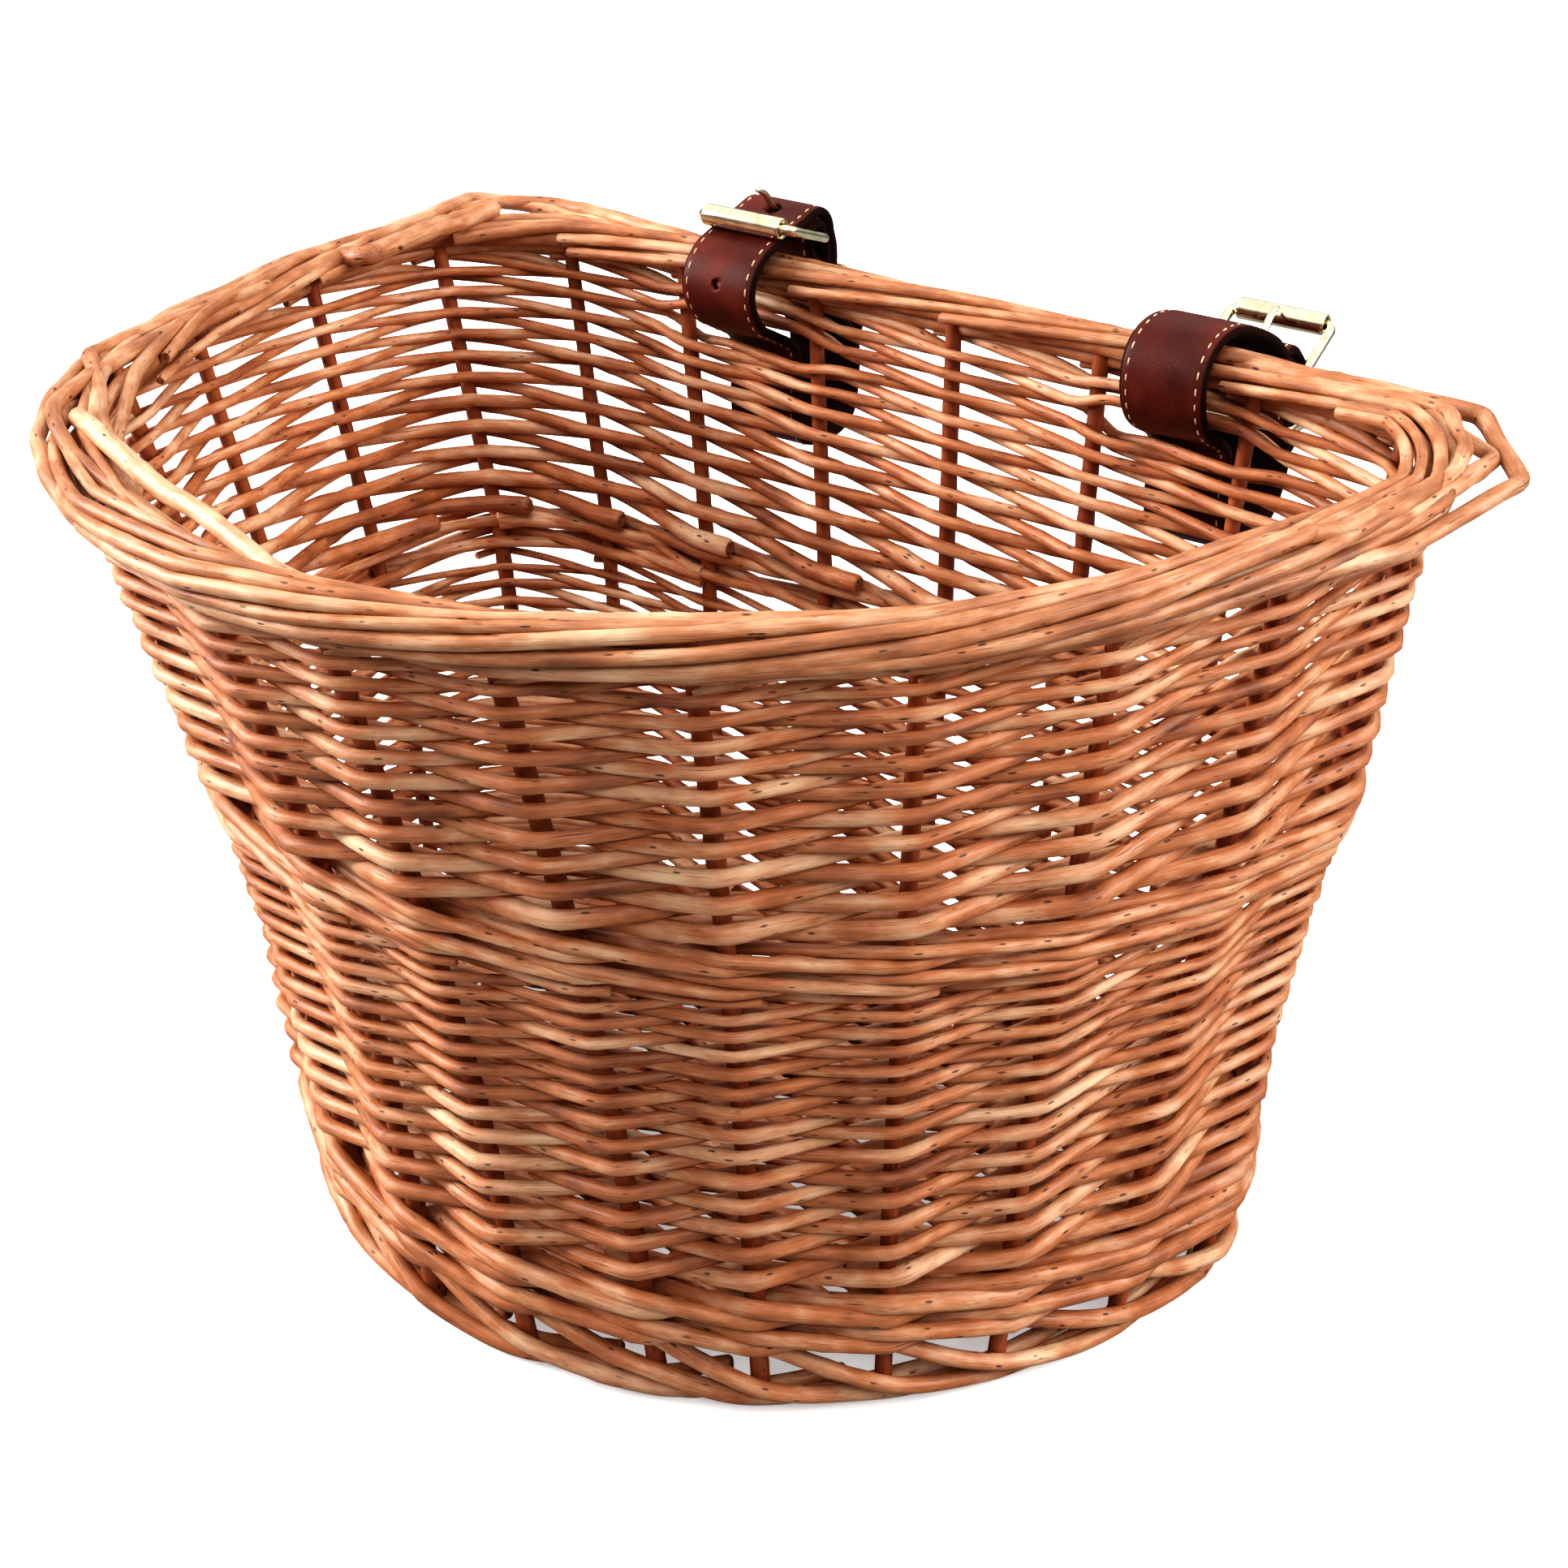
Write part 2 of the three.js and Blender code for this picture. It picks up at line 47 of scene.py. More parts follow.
# ---------------------------------------------------------------------------
# The wall's outline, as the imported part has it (millimetres, row frame)
# ---------------------------------------------------------------------------
_rim_lo, _rim_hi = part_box("rim_border")
SX = (_rim_lo.x + _rim_hi.x) / 2 * 1000 - 0.0
SHIFT = (0.32, 102.83)
LEVELS = [(4.6, 135.7, 184.0, -12.5, 31.0), (90, 145.3, 203.2, -9.4, 33.5),
          (148.3, 156.2, 222.8, -5.4, 35.5), (235, 165.6, 261.7, 0.0, 39.0)]
BOW_P, BOW_Q, BOW_SKEW = 1.092, 0.689, -0.045
STAKES = [[.0435, .044], [.095, .096], [.1467, .148], [.1957, .1895], [.2448, .232], [.288, .268],
          [.3281, .318], [.3624, .3625], [.41, .409], [.458, .455], [.506, .5], [.5538, .545],
          [.6127, .602], [.666, .66], [.7088, .7], [.7505, .745], [.7985, .7965], [.8467, .843],
          [.8949, .892], [.9424, .94], [.9905, .99]]
NS = len(STAKES)
STAKE_R = 2.3


def level(z):
    i = 0
    while i < 2 and z > LEVELS[i + 1][0]:
        i += 1
    t = (z - LEVELS[i][0]) / (LEVELS[i + 1][0] - LEVELS[i][0])
    return [LEVELS[i][k] + (LEVELS[i + 1][k] - LEVELS[i][k]) * t for k in range(1, 5)]


def resample(pts, shares):
    q = np.vstack([pts, pts[:1]])
    s = np.r_[0, np.cumsum(np.hypot(*np.diff(q, axis=0).T))]
    d = (np.asarray(shares) % 1) * s[-1]
    return np.column_stack([np.interp(d, s, q[:, 0]), np.interp(d, s, q[:, 1])])


def outline(z, n=360):
    a, b, y, r = level(z)
    th = np.pi * np.arange(n) / (n - 1)
    c, s = np.cos(th), np.abs(np.sin(th))
    pts = np.column_stack([a * np.sign(c) * np.abs(c) ** BOW_P, y - b * s ** BOW_Q * (1 + BOW_SKEW * c)])
    i = np.arange(1, n // 2 - 1)
    pts = np.vstack([pts, np.column_stack([-a + 2 * a * i / (n / 2 - 1), np.full(len(i), y)])])
    pts = resample(pts, np.arange(n) / n)
    q = np.vstack([pts, pts[:1]])
    sg = r / (np.hypot(*np.diff(q, axis=0).T).sum() / n)
    h = int(math.ceil(4 * sg))
    k = np.arange(-h, h + 1)
    w = np.exp(-k * k / (2 * sg * sg))
    w /= w.sum()
    idx = (np.arange(n)[:, None] + k[None, :]) % n
    return (pts[idx] * w[None, :, None]).sum(1)


Z_LO, Z_STEP, Z_N = -6.0, 3.0, 90
S_N = 1440
_T = np.zeros((Z_N, S_N, 4))
for _i in range(Z_N):
    _f = outline(Z_LO + Z_STEP * _i)
    _sh = np.arange(S_N) / S_N
    _p = resample(_f, _sh)
    _t = resample(_f, _sh + 0.002) - resample(_f, _sh - 0.002)
    _t /= np.linalg.norm(_t, axis=1)[:, None]
    _T[_i, :, 0] = _p[:, 0] + SHIFT[0]
    _T[_i, :, 1] = _p[:, 1] + SHIFT[1]
    _T[_i, :, 2] = -_t[:, 1]
    _T[_i, :, 3] = _t[:, 0]


def wall(share, z):
    """x, y, normal x, normal y of the wall's middle, for arrays of share and z."""
    share, z = np.broadcast_arrays(np.asarray(share, float), np.asarray(z, float))
    fz = np.clip((z - Z_LO) / Z_STEP, 0, Z_N - 1.001)
    fs = (share % 1) * S_N
    iz, js = fz.astype(int), fs.astype(int) % S_N
    tz, ts = (fz - iz)[..., None], (fs - np.floor(fs))[..., None]
    j2 = (js + 1) % S_N
    return ((_T[iz, js] * (1 - ts) + _T[iz, j2] * ts) * (1 - tz)
            + (_T[iz + 1, js] * (1 - ts) + _T[iz + 1, j2] * ts) * tz)


_TOP = np.array([s[0] for s in STAKES])
_BOT = np.array([s[1] for s in STAKES])


def stake_share(k, z):
    """Share of the way round of stake k (0 based, any integer), with whole turns kept."""
    k = np.asarray(k)
    i = k % NS
    t = (np.asarray(z) - 5) / 231
    return _BOT[i] + (_TOP[i] - _BOT[i]) * t + (k - i) / NS


def wall_s(s, z, chord=0.5):
    """Wall point and normal at stake coordinate s (whole numbers are stakes)."""
    s, z = np.broadcast_arrays(np.asarray(s, float), np.asarray(z, float))
    k = np.floor(s).astype(int)
    f = s - k
    a, b = stake_share(k, z), stake_share(k + 1, z)
    w = wall(a + (b - a) * f, z)
    pa, pb = wall(a, z), wall(b, z)
    out = w.copy()
    out[..., :2] = w[..., :2] * (1 - chord) + (pa * (1 - f)[..., None] + pb * f[..., None])[..., :2] * chord
    return out


def place(s, z, off, chord=0.5):
    s, z, off = (np.asarray(v, float) for v in (s, z, off))
    # the back right corner stands a little fuller than the stakes' own line
    turn = (s + NS / 2) % NS - NS / 2
    off = off + 3.6 * np.exp(-((turn + .1) / .75) ** 2) * np.clip((z - 120) / 110, 0, 1)
    w = wall_s(s, z, chord)
    return np.column_stack([w[..., 0] + w[..., 2] * off, w[..., 1] + w[..., 3] * off, z])


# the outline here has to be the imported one
_b0, _b1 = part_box("mid_wale")
_o = wall(np.arange(720) / 720, 145.0)
for _c, _axis in ((0, "x"), (1, "y")):
    _e = _o[:, _c] + _o[:, 2 + _c] * 6.4
    assert abs(_e.min() - _b0[_c] * 1000) < 4 and abs(_e.max() - _b1[_c] * 1000) < 4, f"outline differs in {_axis}"

# ---------------------------------------------------------------------------
# Straps: side profiles in (y, z), before the shift
# ---------------------------------------------------------------------------
STRAP_W, STRAP_T, WIRE_R, FRAME_L, FRAME_HALF = 25.0, 3.0, 1.5, 21.0, 15.3
ROLLER_R, ROLLER_HALF, EYE_R, PRONG_R, FOLD_R = 3.15, 13.3, 3.1, 1.1, 3.75
TAIL_R = FOLD_R + STRAP_T + 0.4


def arc(c, r, a0, a1, n):
    t = np.radians(a0 + (a1 - a0) * np.arange(n + 1) / n)
    return [[c[0] + r * math.cos(x), c[1] + r * math.sin(x)] for x in t]


LEFT = dict(x=-62.0, hinge=[14.5, 245.0], frame=161.5, prong=127.0, keeper=(233.0, 14.0, 26.8), curl=1.0)
LEFT["path"] = ([[17, 227.5], [17, 235.5], [12.6, 240]] + arc(LEFT["hinge"], FOLD_R, 205, -5, 8)
                + [[19.9, 240.5], [20.4, 236.5], [20.4, 226.5], [24, 221], [31, 215.5], [36, 210.5], [37.6, 202.5],
                   [37.2, 193.5], [35.4, 186.8], [30, 183], [14.5, 183], [8.6, 186.6], [6.7, 193.5], [6.8, 206],
                   [5.6, 213.4], [-5.6, 220.2], [-11.5, 223.4], [-16, 229], [-17.6, 235], [-15.6, 240.6],
                   [-11, 244.6], [-5.2, 246.7], [1.5, 248.9], [7.5, 250.4]]
                + arc(LEFT["hinge"], TAIL_R, 100, 5, 5)
                + [[23.3, 241], [23.8, 237], [23.8, 227.6], [26.6, 223.6], [33.4, 218.2], [38.9, 212.6], [40.6, 206]])
RIGHT = dict(x=77.0, hinge=[39.6, 224.7], frame=29.2, prong=50.0, keeper=(209.5, 37.9, 50.7), curl=-1.0)
RIGHT["path"] = ([[40.9, 205], [40.9, 212.8], [37.9, 217.8]] + arc(RIGHT["hinge"], FOLD_R, 195, -5, 8)
                 + [[44.3, 219.5], [44.3, 204], [43, 194.5], [38.4, 187], [31.5, 183], [15, 183], [8.8, 186.6],
                    [6.8, 193.5], [6.8, 206], [5.6, 212.8], [-5.6, 219.6], [-9.5, 223.2], [-12.3, 229.5],
                    [-12.6, 236], [-10.2, 241.6], [-5.2, 244.9], [2, 246], [10, 244.9], [20, 241.4], [30, 236.8]]
                 + arc(RIGHT["hinge"], TAIL_R, 108, 40, 3)
                 + [[49.4, 224.6], [49.8, 219], [47.7, 214], [47.7, 203], [46.8, 196.5]])
SIDES = {"left": LEFT, "right": RIGHT}

# ---------------------------------------------------------------------------
# Mesh helpers
# ---------------------------------------------------------------------------


def smooth_noise(rng, n, cells):
    """n samples of seeded smooth noise with about this many bumps, roughly in -1..1."""
    v = rng.uniform(-1, 1, max(int(cells), 1) + 3)
    x = np.linspace(0, len(v) - 3, n)
    i = np.minimum(x.astype(int), len(v) - 4) if len(v) > 3 else np.zeros(n, int)
    f = x - i
    f = f * f * (3 - 2 * f)
    return v[i] * (1 - f) + v[i + 1] * f


class Tubes:
    """Collects rods and turns them into one mesh, with grain coordinates on its points."""

    def __init__(self):
        self.v, self.q, self.cap, self.g, self.tone, self.bend = [], [], [], [], [], []
        self.n = 0
        self.flat = []

    def add(self, path, radius, rng, sides=10, knots=0.0, tone=None, oval=0.06, bevel=True, start_cut=True):
        path = np.asarray(path, float)
        m = len(path)
        radius = np.broadcast_to(np.asarray(radius, float), (m,)).copy()
        d = np.gradient(path, axis=0)
        d /= np.linalg.norm(d, axis=1)[:, None] + 1e-12
        length = np.r_[0, np.cumsum(np.linalg.norm(np.diff(path, axis=0), axis=1))]
        if knots > 0:
            pos = rng.uniform(0, length[-1], rng.poisson(length[-1] / knots) if length[-1] > 5 else 0)
            for p in pos:
                radius *= 1 + rng.uniform(.06, .16) * np.exp(-((length - p) / rng.uniform(1.6, 3.0)) ** 2)
        u = np.cross(d[0], [0.0, 0.0, 1.0])
        if np.linalg.norm(u) < 0.2:
            u = np.cross(d[0], [1.0, 0.0, 0.0])
        u /= np.linalg.norm(u)
        us = np.zeros_like(path)
        for i in range(m):
            u = u - d[i] * np.dot(u, d[i])
            u /= np.linalg.norm(u)
            us[i] = u
        vs = np.cross(d, us)
        th = 2 * np.pi * np.arange(sides) / sides
        ph = rng.uniform(0, 2 * np.pi)
        shape = 1 + oval * np.cos(2 * (th - ph))
        c, s = np.cos(th) * shape, np.sin(th) * shape
        rings = [(path[i] + radius[i] * (c[:, None] * us[i] + s[:, None] * vs[i])) for i in range(m)]
        lens = list(length)
        if bevel:
            e = 0.35
            r0 = path[0] - d[0] * e * radius[0] + radius[0] * .74 * (c[:, None] * us[0] + s[:, None] * vs[0])
            r1 = path[-1] + d[-1] * e * radius[-1] + radius[-1] * .74 * (c[:, None] * us[-1] + s[:, None] * vs[-1])
            rings = [r0] + rings + [r1]
            lens = [lens[0] - e] + lens + [lens[-1] + e]
        k = len(rings)
        step = np.diff(d, axis=0)
        seg = np.maximum(np.diff(length), 1e-6)
        curve = np.zeros(m)
        if m > 2:
            curve[1:] = np.linalg.norm(step, axis=1) / seg
            curve = np.convolve(np.pad(curve, 2, "edge"), [.15, .2, .3, .2, .15], "valid")
        curve = np.clip((curve - .03) / .11, 0, 1)
        if bevel:
            curve = np.r_[curve[0], curve, curve[-1]]
        base = self.n
        V = np.vstack(rings)
        idx = np.arange(k * sides).reshape(k, sides)
        a, b = idx[:-1], idx[1:]
        q = np.stack([a, np.roll(a, -1, 1), np.roll(b, -1, 1), b], -1).reshape(-1, 4)
        gid = rng.uniform(0, 4000)
        G = np.column_stack([np.repeat(lens, sides) + gid, np.tile(np.cos(th) * 2.2, k) + gid * .37,
                             np.tile(np.sin(th) * 2.2, k)])
        self.v.append(V)
        self.q.append(q + base)
        # end faces, as fans with their own middle point
        ends = []
        for ring, sgn in ((idx[0], -1), (idx[-1], 1)):
            mid = base + k * sides + len(ends)
            j = np.arange(sides)
            r0, r1 = ring[j] + base, ring[(j + 1) % sides] + base
            tri = np.stack([np.full(sides, mid), r0, r1] if sgn > 0 else [np.full(sides, mid), r1, r0], -1)
            ends.append(V[ring].mean(0))
            self.cap.append(tri)
        self.v.append(np.array(ends))
        self.g.append(np.vstack([G, [[lens[0] + gid, gid * .37, 0], [lens[-1] + gid, gid * .37, 0]]]))
        t = rng.normal(0.5, 0.17) if tone is None else tone + rng.normal(0, .07)
        self.tone.append(np.full(k * sides + 2, np.clip(t, 0, 1)))
        self.bend.append(np.r_[np.repeat(curve, sides), curve[0], curve[-1]])
        self.n += k * sides + 2

    def make(self, name, materials):
        v = np.vstack(self.v) * MM
        q, c = np.vstack(self.q), np.vstack(self.cap)
        me = bpy.data.meshes.new(name)
        me.vertices.add(len(v))
        me.vertices.foreach_set("co", v.astype(np.float32).ravel())
        loops = np.r_[q.ravel(), c.ravel()]
        me.loops.add(len(loops))
        me.loops.foreach_set("vertex_index", loops.astype(np.int32))
        me.polygons.add(len(q) + len(c))
        me.polygons.foreach_set("loop_start", np.r_[np.arange(len(q)) * 4, len(q) * 4 + np.arange(len(c)) * 3].astype(np.int32))
        me.polygons.foreach_set("loop_total", np.r_[np.full(len(q), 4), np.full(len(c), 3)].astype(np.int32))
        me.polygons.foreach_set("use_smooth", np.r_[np.ones(len(q), bool), np.zeros(len(c), bool)])
        me.polygons.foreach_set("material_index", np.r_[np.zeros(len(q)), np.ones(len(c))].astype(np.int32))
        me.update(calc_edges=True)
        for m in materials:
            me.materials.append(m)
        a = me.attributes.new("grain", "FLOAT_VECTOR", "POINT")
        a.data.foreach_set("vector", np.vstack(self.g).astype(np.float32).ravel())
        a = me.attributes.new("tone", "FLOAT", "POINT")
        a.data.foreach_set("value", np.concatenate(self.tone).astype(np.float32))
        a = me.attributes.new("bend", "FLOAT", "POINT")
        a.data.foreach_set("value", np.concatenate(self.bend).astype(np.float32))
        me.validate()
        o = bpy.data.objects.new(name, me)
        bpy.context.scene.collection.objects.link(o)
        return o


def kink(t, k=0.94):
    """+1 at whole even numbers, -1 at odd ones, nearly straight in between."""
    return np.arcsin(k * np.cos(np.pi * t)) / math.asin(k)


# ---------------------------------------------------------------------------
# Materials
# ---------------------------------------------------------------------------


def srgb(r, g, b):
    f = lambda c: (c / 255 / 12.92) if c / 255 <= 0.04045 else ((c / 255 + 0.055) / 1.055) ** 2.4
    return (f(r), f(g), f(b), 1.0)


def new_material(name):
    m = bpy.data.materials.new(name)
    m.use_nodes = True
    nt = m.node_tree
    nt.nodes.clear()
    out = nt.nodes.new("ShaderNodeOutputMaterial")
    b = nt.nodes.new("ShaderNodeBsdfPrincipled")
    nt.links.new(b.outputs[0], out.inputs[0])
    return m, nt, b


def node(nt, kind, **props):
    n = nt.nodes.new(kind)
    for k, v in props.items():
        setattr(n, k, v)
    return n


def math_node(nt, op, a, b=None, clamp=False):
    n = nt.nodes.new("ShaderNodeMath")
    n.operation = op
    n.use_clamp = clamp
    for i, x in enumerate((a, b)):
        if x is None:
            continue
        if isinstance(x, (int, float)):
            n.inputs[i].default_value = x
        else:
            nt.links.new(x, n.inputs[i])
    return n.outputs[0]


def mix_colour(nt, fac, a, b, blend="MIX"):
    n = nt.nodes.new("ShaderNodeMix")
    n.data_type = "RGBA"
    n.blend_type = blend
    for s, x in ((n.inputs[0], fac), (n.inputs[6], a), (n.inputs[7], b)):
        if isinstance(x, (int, float)):
            s.default_value = x
        elif isinstance(x, tuple):
            s.default_value = x
        else:
            nt.links.new(x, s)
    return n.outputs[2]


def ramp(nt, fac, stops, interpolation="LINEAR"):
    n = nt.nodes.new("ShaderNodeValToRGB")
    cr = n.color_ramp
    cr.interpolation = interpolation
    while len(cr.elements) < len(stops):
        cr.elements.new(0.5)
    for e, (p, c) in zip(cr.elements, stops):
        e.position = p
        e.color = c if isinstance(c, tuple) else (c, c, c, 1)
    nt.links.new(fac, n.inputs[0])
    return n.outputs[0]


def willow(name, light, mid, dark, rough=0.44):
    """Peeled, boiled and varnished willow: long grain, soft mottling, bud scars, small cracks."""
    m, nt, b = new_material(name)
    g = node(nt, "ShaderNodeAttribute", attribute_name="grain").outputs["Vector"]
    tone = node(nt, "ShaderNodeAttribute", attribute_name="tone").outputs["Fac"]
    bend = node(nt, "ShaderNodeAttribute", attribute_name="bend").outputs["Fac"]

    def noise(scale, stretch, detail=3.0, roughness=0.55, distortion=0.0):
        mp = node(nt, "ShaderNodeMapping", vector_type="POINT")
        mp.inputs["Scale"].default_value = (scale * stretch, scale, scale)
        nt.links.new(g, mp.inputs["Vector"])
        n = node(nt, "ShaderNodeTexNoise")
        n.inputs["Scale"].default_value = 1.0
        n.inputs["Detail"].default_value = detail
        n.inputs["Roughness"].default_value = roughness
        n.inputs["Distortion"].default_value = distortion
        nt.links.new(mp.outputs[0], n.inputs["Vector"])
        return n.outputs["Fac"]

    mul = lambda a, c: math_node(nt, "MULTIPLY", a, c)
    add = lambda a, c: math_node(nt, "ADD", a, c)
    streak = noise(1.9, 0.045, 4.0, 0.62)
    mottle = noise(0.20, 0.36, 3.0, 0.6)
    patch = noise(0.055, 0.8, 2.0, 0.5)
    fine = noise(5.5, 0.05, 2.0, 0.6)
    t = add(add(mul(streak, 0.26), mul(mottle, 0.62)), add(mul(patch, 0.52), add(mul(tone, 0.30), mul(fine, 0.08))))
    t = math_node(nt, "SUBTRACT", t, 0.40, True)
    col = ramp(nt, t, [(0.14, dark), (0.46, mid), (0.80, light)])
    # dark flecks and bud scars
    mp = node(nt, "ShaderNodeMapping", vector_type="POINT")
    mp.inputs["Scale"].default_value = (0.13, 0.42, 0.42)
    nt.links.new(g, mp.inputs["Vector"])
    vor = node(nt, "ShaderNodeTexVoronoi")
    vor.inputs["Scale"].default_value = 1.0
    nt.links.new(mp.outputs[0], vor.inputs["Vector"])
    spot = ramp(nt, vor.outputs["Distance"], [(0.0, 1.0), (0.10, 1.0), (0.17, 0.0)])
    keep = ramp(nt, noise(0.05, 1.0, 1.0), [(0.40, 0.0), (0.50, 1.0)])
    spot = mul(spot, keep)
    # long drying cracks, and short ones across the rod where it is bent hard
    crack = ramp(nt, noise(3.0, 0.03, 2.0, 0.5, 0.4), [(0.27, 1.0), (0.325, 0.0)])
    cross = ramp(nt, noise(1.0, 4.2, 3.0, 0.65, 0.5), [(0.33, 1.0), (0.45, 0.0)])
    cross = mul(cross, bend)
    # darker, redder tint where the rod bends hard round the stakes, strongest over the lighter mottling
    bend_tint = mul(bend, ramp(nt, mottle, [(0.35, 0.0), (0.62, 1.0)]))
    col = mix_colour(nt, mul(bend_tint, 0.35), col, srgb(150, 82, 46))
    col = mix_colour(nt, mul(spot, 0.85), col, srgb(58, 26, 12))
    col = mix_colour(nt, mul(crack, 0.75), col, srgb(84, 38, 18))
    col = mix_colour(nt, mul(cross, 0.7), col, srgb(66, 28, 14))
    nt.links.new(col, b.inputs["Base Color"])
    r = add(add(mul(fine, 0.22), mul(mottle, 0.18)), rough - 0.20)
    r = add(r, mul(bend, 0.12))
    nt.links.new(r, b.inputs["Roughness"])
    b.inputs["Specular IOR Level"].default_value = 0.5
    h = add(mul(streak, 0.55), mul(fine, 0.3))
    h = math_node(nt, "SUBTRACT", h, add(mul(spot, 0.8), add(mul(crack, 0.9), mul(cross, 0.9))))
    bump = node(nt, "ShaderNodeBump")
    bump.inputs["Strength"].default_value = 0.6
    bump.inputs["Distance"].default_value = 0.00035
    nt.links.new(h, bump.inputs["Height"])
    nt.links.new(bump.outputs[0], b.inputs["Normal"])
    return m


def willow_end():
    m, nt, b = new_material("willow_cut_end")
    tc = node(nt, "ShaderNodeTexCoord").outputs["Object"]
    n = node(nt, "ShaderNodeTexNoise")
    n.inputs["Scale"].default_value = 900
    nt.links.new(tc, n.inputs["Vector"])
    col = ramp(nt, n.outputs["Fac"], [(0.3, srgb(84, 44, 24)), (0.7, srgb(176, 118, 74))])
    nt.links.new(col, b.inputs["Base Color"])
    b.inputs["Roughness"].default_value = 0.85
    return m


M_WILLOW = willow("willow_rod", srgb(243, 211, 176), srgb(189, 121, 78), srgb(84, 28, 10))
M_PALE = willow("willow_pale_rod", srgb(238, 204, 170), srgb(182, 122, 82), srgb(92, 36, 15), 0.42)
M_DARK = willow("willow_stake", srgb(186, 112, 66), srgb(146, 74, 38), srgb(86, 34, 16), 0.5)
M_END = willow_end()


def leather():
    m, nt, b = new_material("strap_leather")
    tc = node(nt, "ShaderNodeTexCoord").outputs["Object"]
    big = node(nt, "ShaderNodeTexNoise")
    big.inputs["Scale"].default_value = 70
    big.inputs["Detail"].default_value = 4
    nt.links.new(tc, big.inputs["Vector"])
    vor = node(nt, "ShaderNodeTexVoronoi")
    vor.feature = "DISTANCE_TO_EDGE"
    vor.inputs["Scale"].default_value = 900
    nt.links.new(tc, vor.inputs["Vector"])
    fine = node(nt, "ShaderNodeTexNoise")
    fine.inputs["Scale"].default_value = 1600
    fine.inputs["Detail"].default_value = 3
    nt.links.new(tc, fine.inputs["Vector"])
    col = ramp(nt, big.outputs["Fac"], [(0.3, srgb(66, 22, 14)), (0.55, srgb(92, 35, 24)), (0.75, srgb(113, 48, 33))])
    edge = node(nt, "ShaderNodeAttribute", attribute_name="edge").outputs["Fac"]
    back = node(nt, "ShaderNodeAttribute", attribute_name="flesh").outputs["Fac"]
    pits = ramp(nt, vor.outputs["Distance"], [(0.0, 0.0), (0.12, 1.0)])
    col = mix_colour(nt, math_node(nt, "MULTIPLY", math_node(nt, "SUBTRACT", 1.0, pits), 0.35), col, srgb(44, 14, 9))
    col = mix_colour(nt, math_node(nt, "MULTIPLY", back, 0.95), col, srgb(38, 22, 17))
    col = mix_colour(nt, math_node(nt, "MULTIPLY", edge, 0.95), col, srgb(30, 16, 12))
    nt.links.new(col, b.inputs["Base Color"])
    r = math_node(nt, "ADD", math_node(nt, "MULTIPLY", big.outputs["Fac"], 0.26), 0.38)
    r = math_node(nt, "ADD", r, math_node(nt, "MULTIPLY", back, 0.4), True)
    r = math_node(nt, "ADD", r, math_node(nt, "MULTIPLY", edge, 0.3), True)
    spec = math_node(nt, "SUBTRACT", 0.2, math_node(nt, "MULTIPLY", math_node(nt, "ADD", back, edge), 0.13), True)
    nt.links.new(spec, b.inputs["Specular IOR Level"])
    nt.links.new(r, b.inputs["Roughness"])
    h = math_node(nt, "ADD", math_node(nt, "MULTIPLY", pits, 0.6), math_node(nt, "MULTIPLY", fine.outputs["Fac"], 0.4))
    bump = node(nt, "ShaderNodeBump")
    bump.inputs["Strength"].default_value = 0.35
    bump.inputs["Distance"].default_value = 0.00012
    nt.links.new(h, bump.inputs["Height"])
    nt.links.new(bump.outputs[0], b.inputs["Normal"])
    return m


def thread():
    m, nt, b = new_material("stitch_thread")
    tc = node(nt, "ShaderNodeTexCoord").outputs["Object"]
    n = node(nt, "ShaderNodeTexNoise")
    n.inputs["Scale"].default_value = 2500
    nt.links.new(tc, n.inputs["Vector"])
    nt.links.new(ramp(nt, n.outputs["Fac"], [(0.3, srgb(196, 160, 120)), (0.7, srgb(240, 220, 188))]), b.inputs["Base Color"])
    b.inputs["Roughness"].default_value = 0.75
    return m


def metal():
    m, nt, b = new_material("nickel_plate")
    tc = node(nt, "ShaderNodeTexCoord").outputs["Object"]
    n = node(nt, "ShaderNodeTexNoise")
    n.inputs["Scale"].default_value = 260
    n.inputs["Detail"].default_value = 5
    nt.links.new(tc, n.inputs["Vector"])
    mp = node(nt, "ShaderNodeMapping")
    mp.inputs["Scale"].default_value = (60, 2600, 2600)
    nt.links.new(tc, mp.inputs["Vector"])
    s = node(nt, "ShaderNodeTexNoise")
    s.inputs["Scale"].default_value = 1.0
    nt.links.new(mp.outputs[0], s.inputs["Vector"])
    nt.links.new(ramp(nt, n.outputs["Fac"], [(0.3, srgb(214, 204, 172)), (0.7, srgb(244, 238, 214))]), b.inputs["Base Color"])
    b.inputs["Metallic"].default_value = 1.0
    nt.links.new(math_node(nt, "ADD", math_node(nt, "MULTIPLY", n.outputs["Fac"], 0.16),
                           math_node(nt, "MULTIPLY", s.outputs["Fac"], 0.10)), b.inputs["Roughness"])
    bump = node(nt, "ShaderNodeBump")
    bump.inputs["Strength"].default_value = 0.08
    bump.inputs["Distance"].default_value = 0.00005
    nt.links.new(s.outputs["Fac"], bump.inputs["Height"])
    nt.links.new(bump.outputs[0], b.inputs["Normal"])
    return m


M_LEATHER, M_THREAD, M_METAL = leather(), thread(), metal()

# ---------------------------------------------------------------------------
# Wall weave
# ---------------------------------------------------------------------------
PART_H, PART_D = 2.35, 15.0


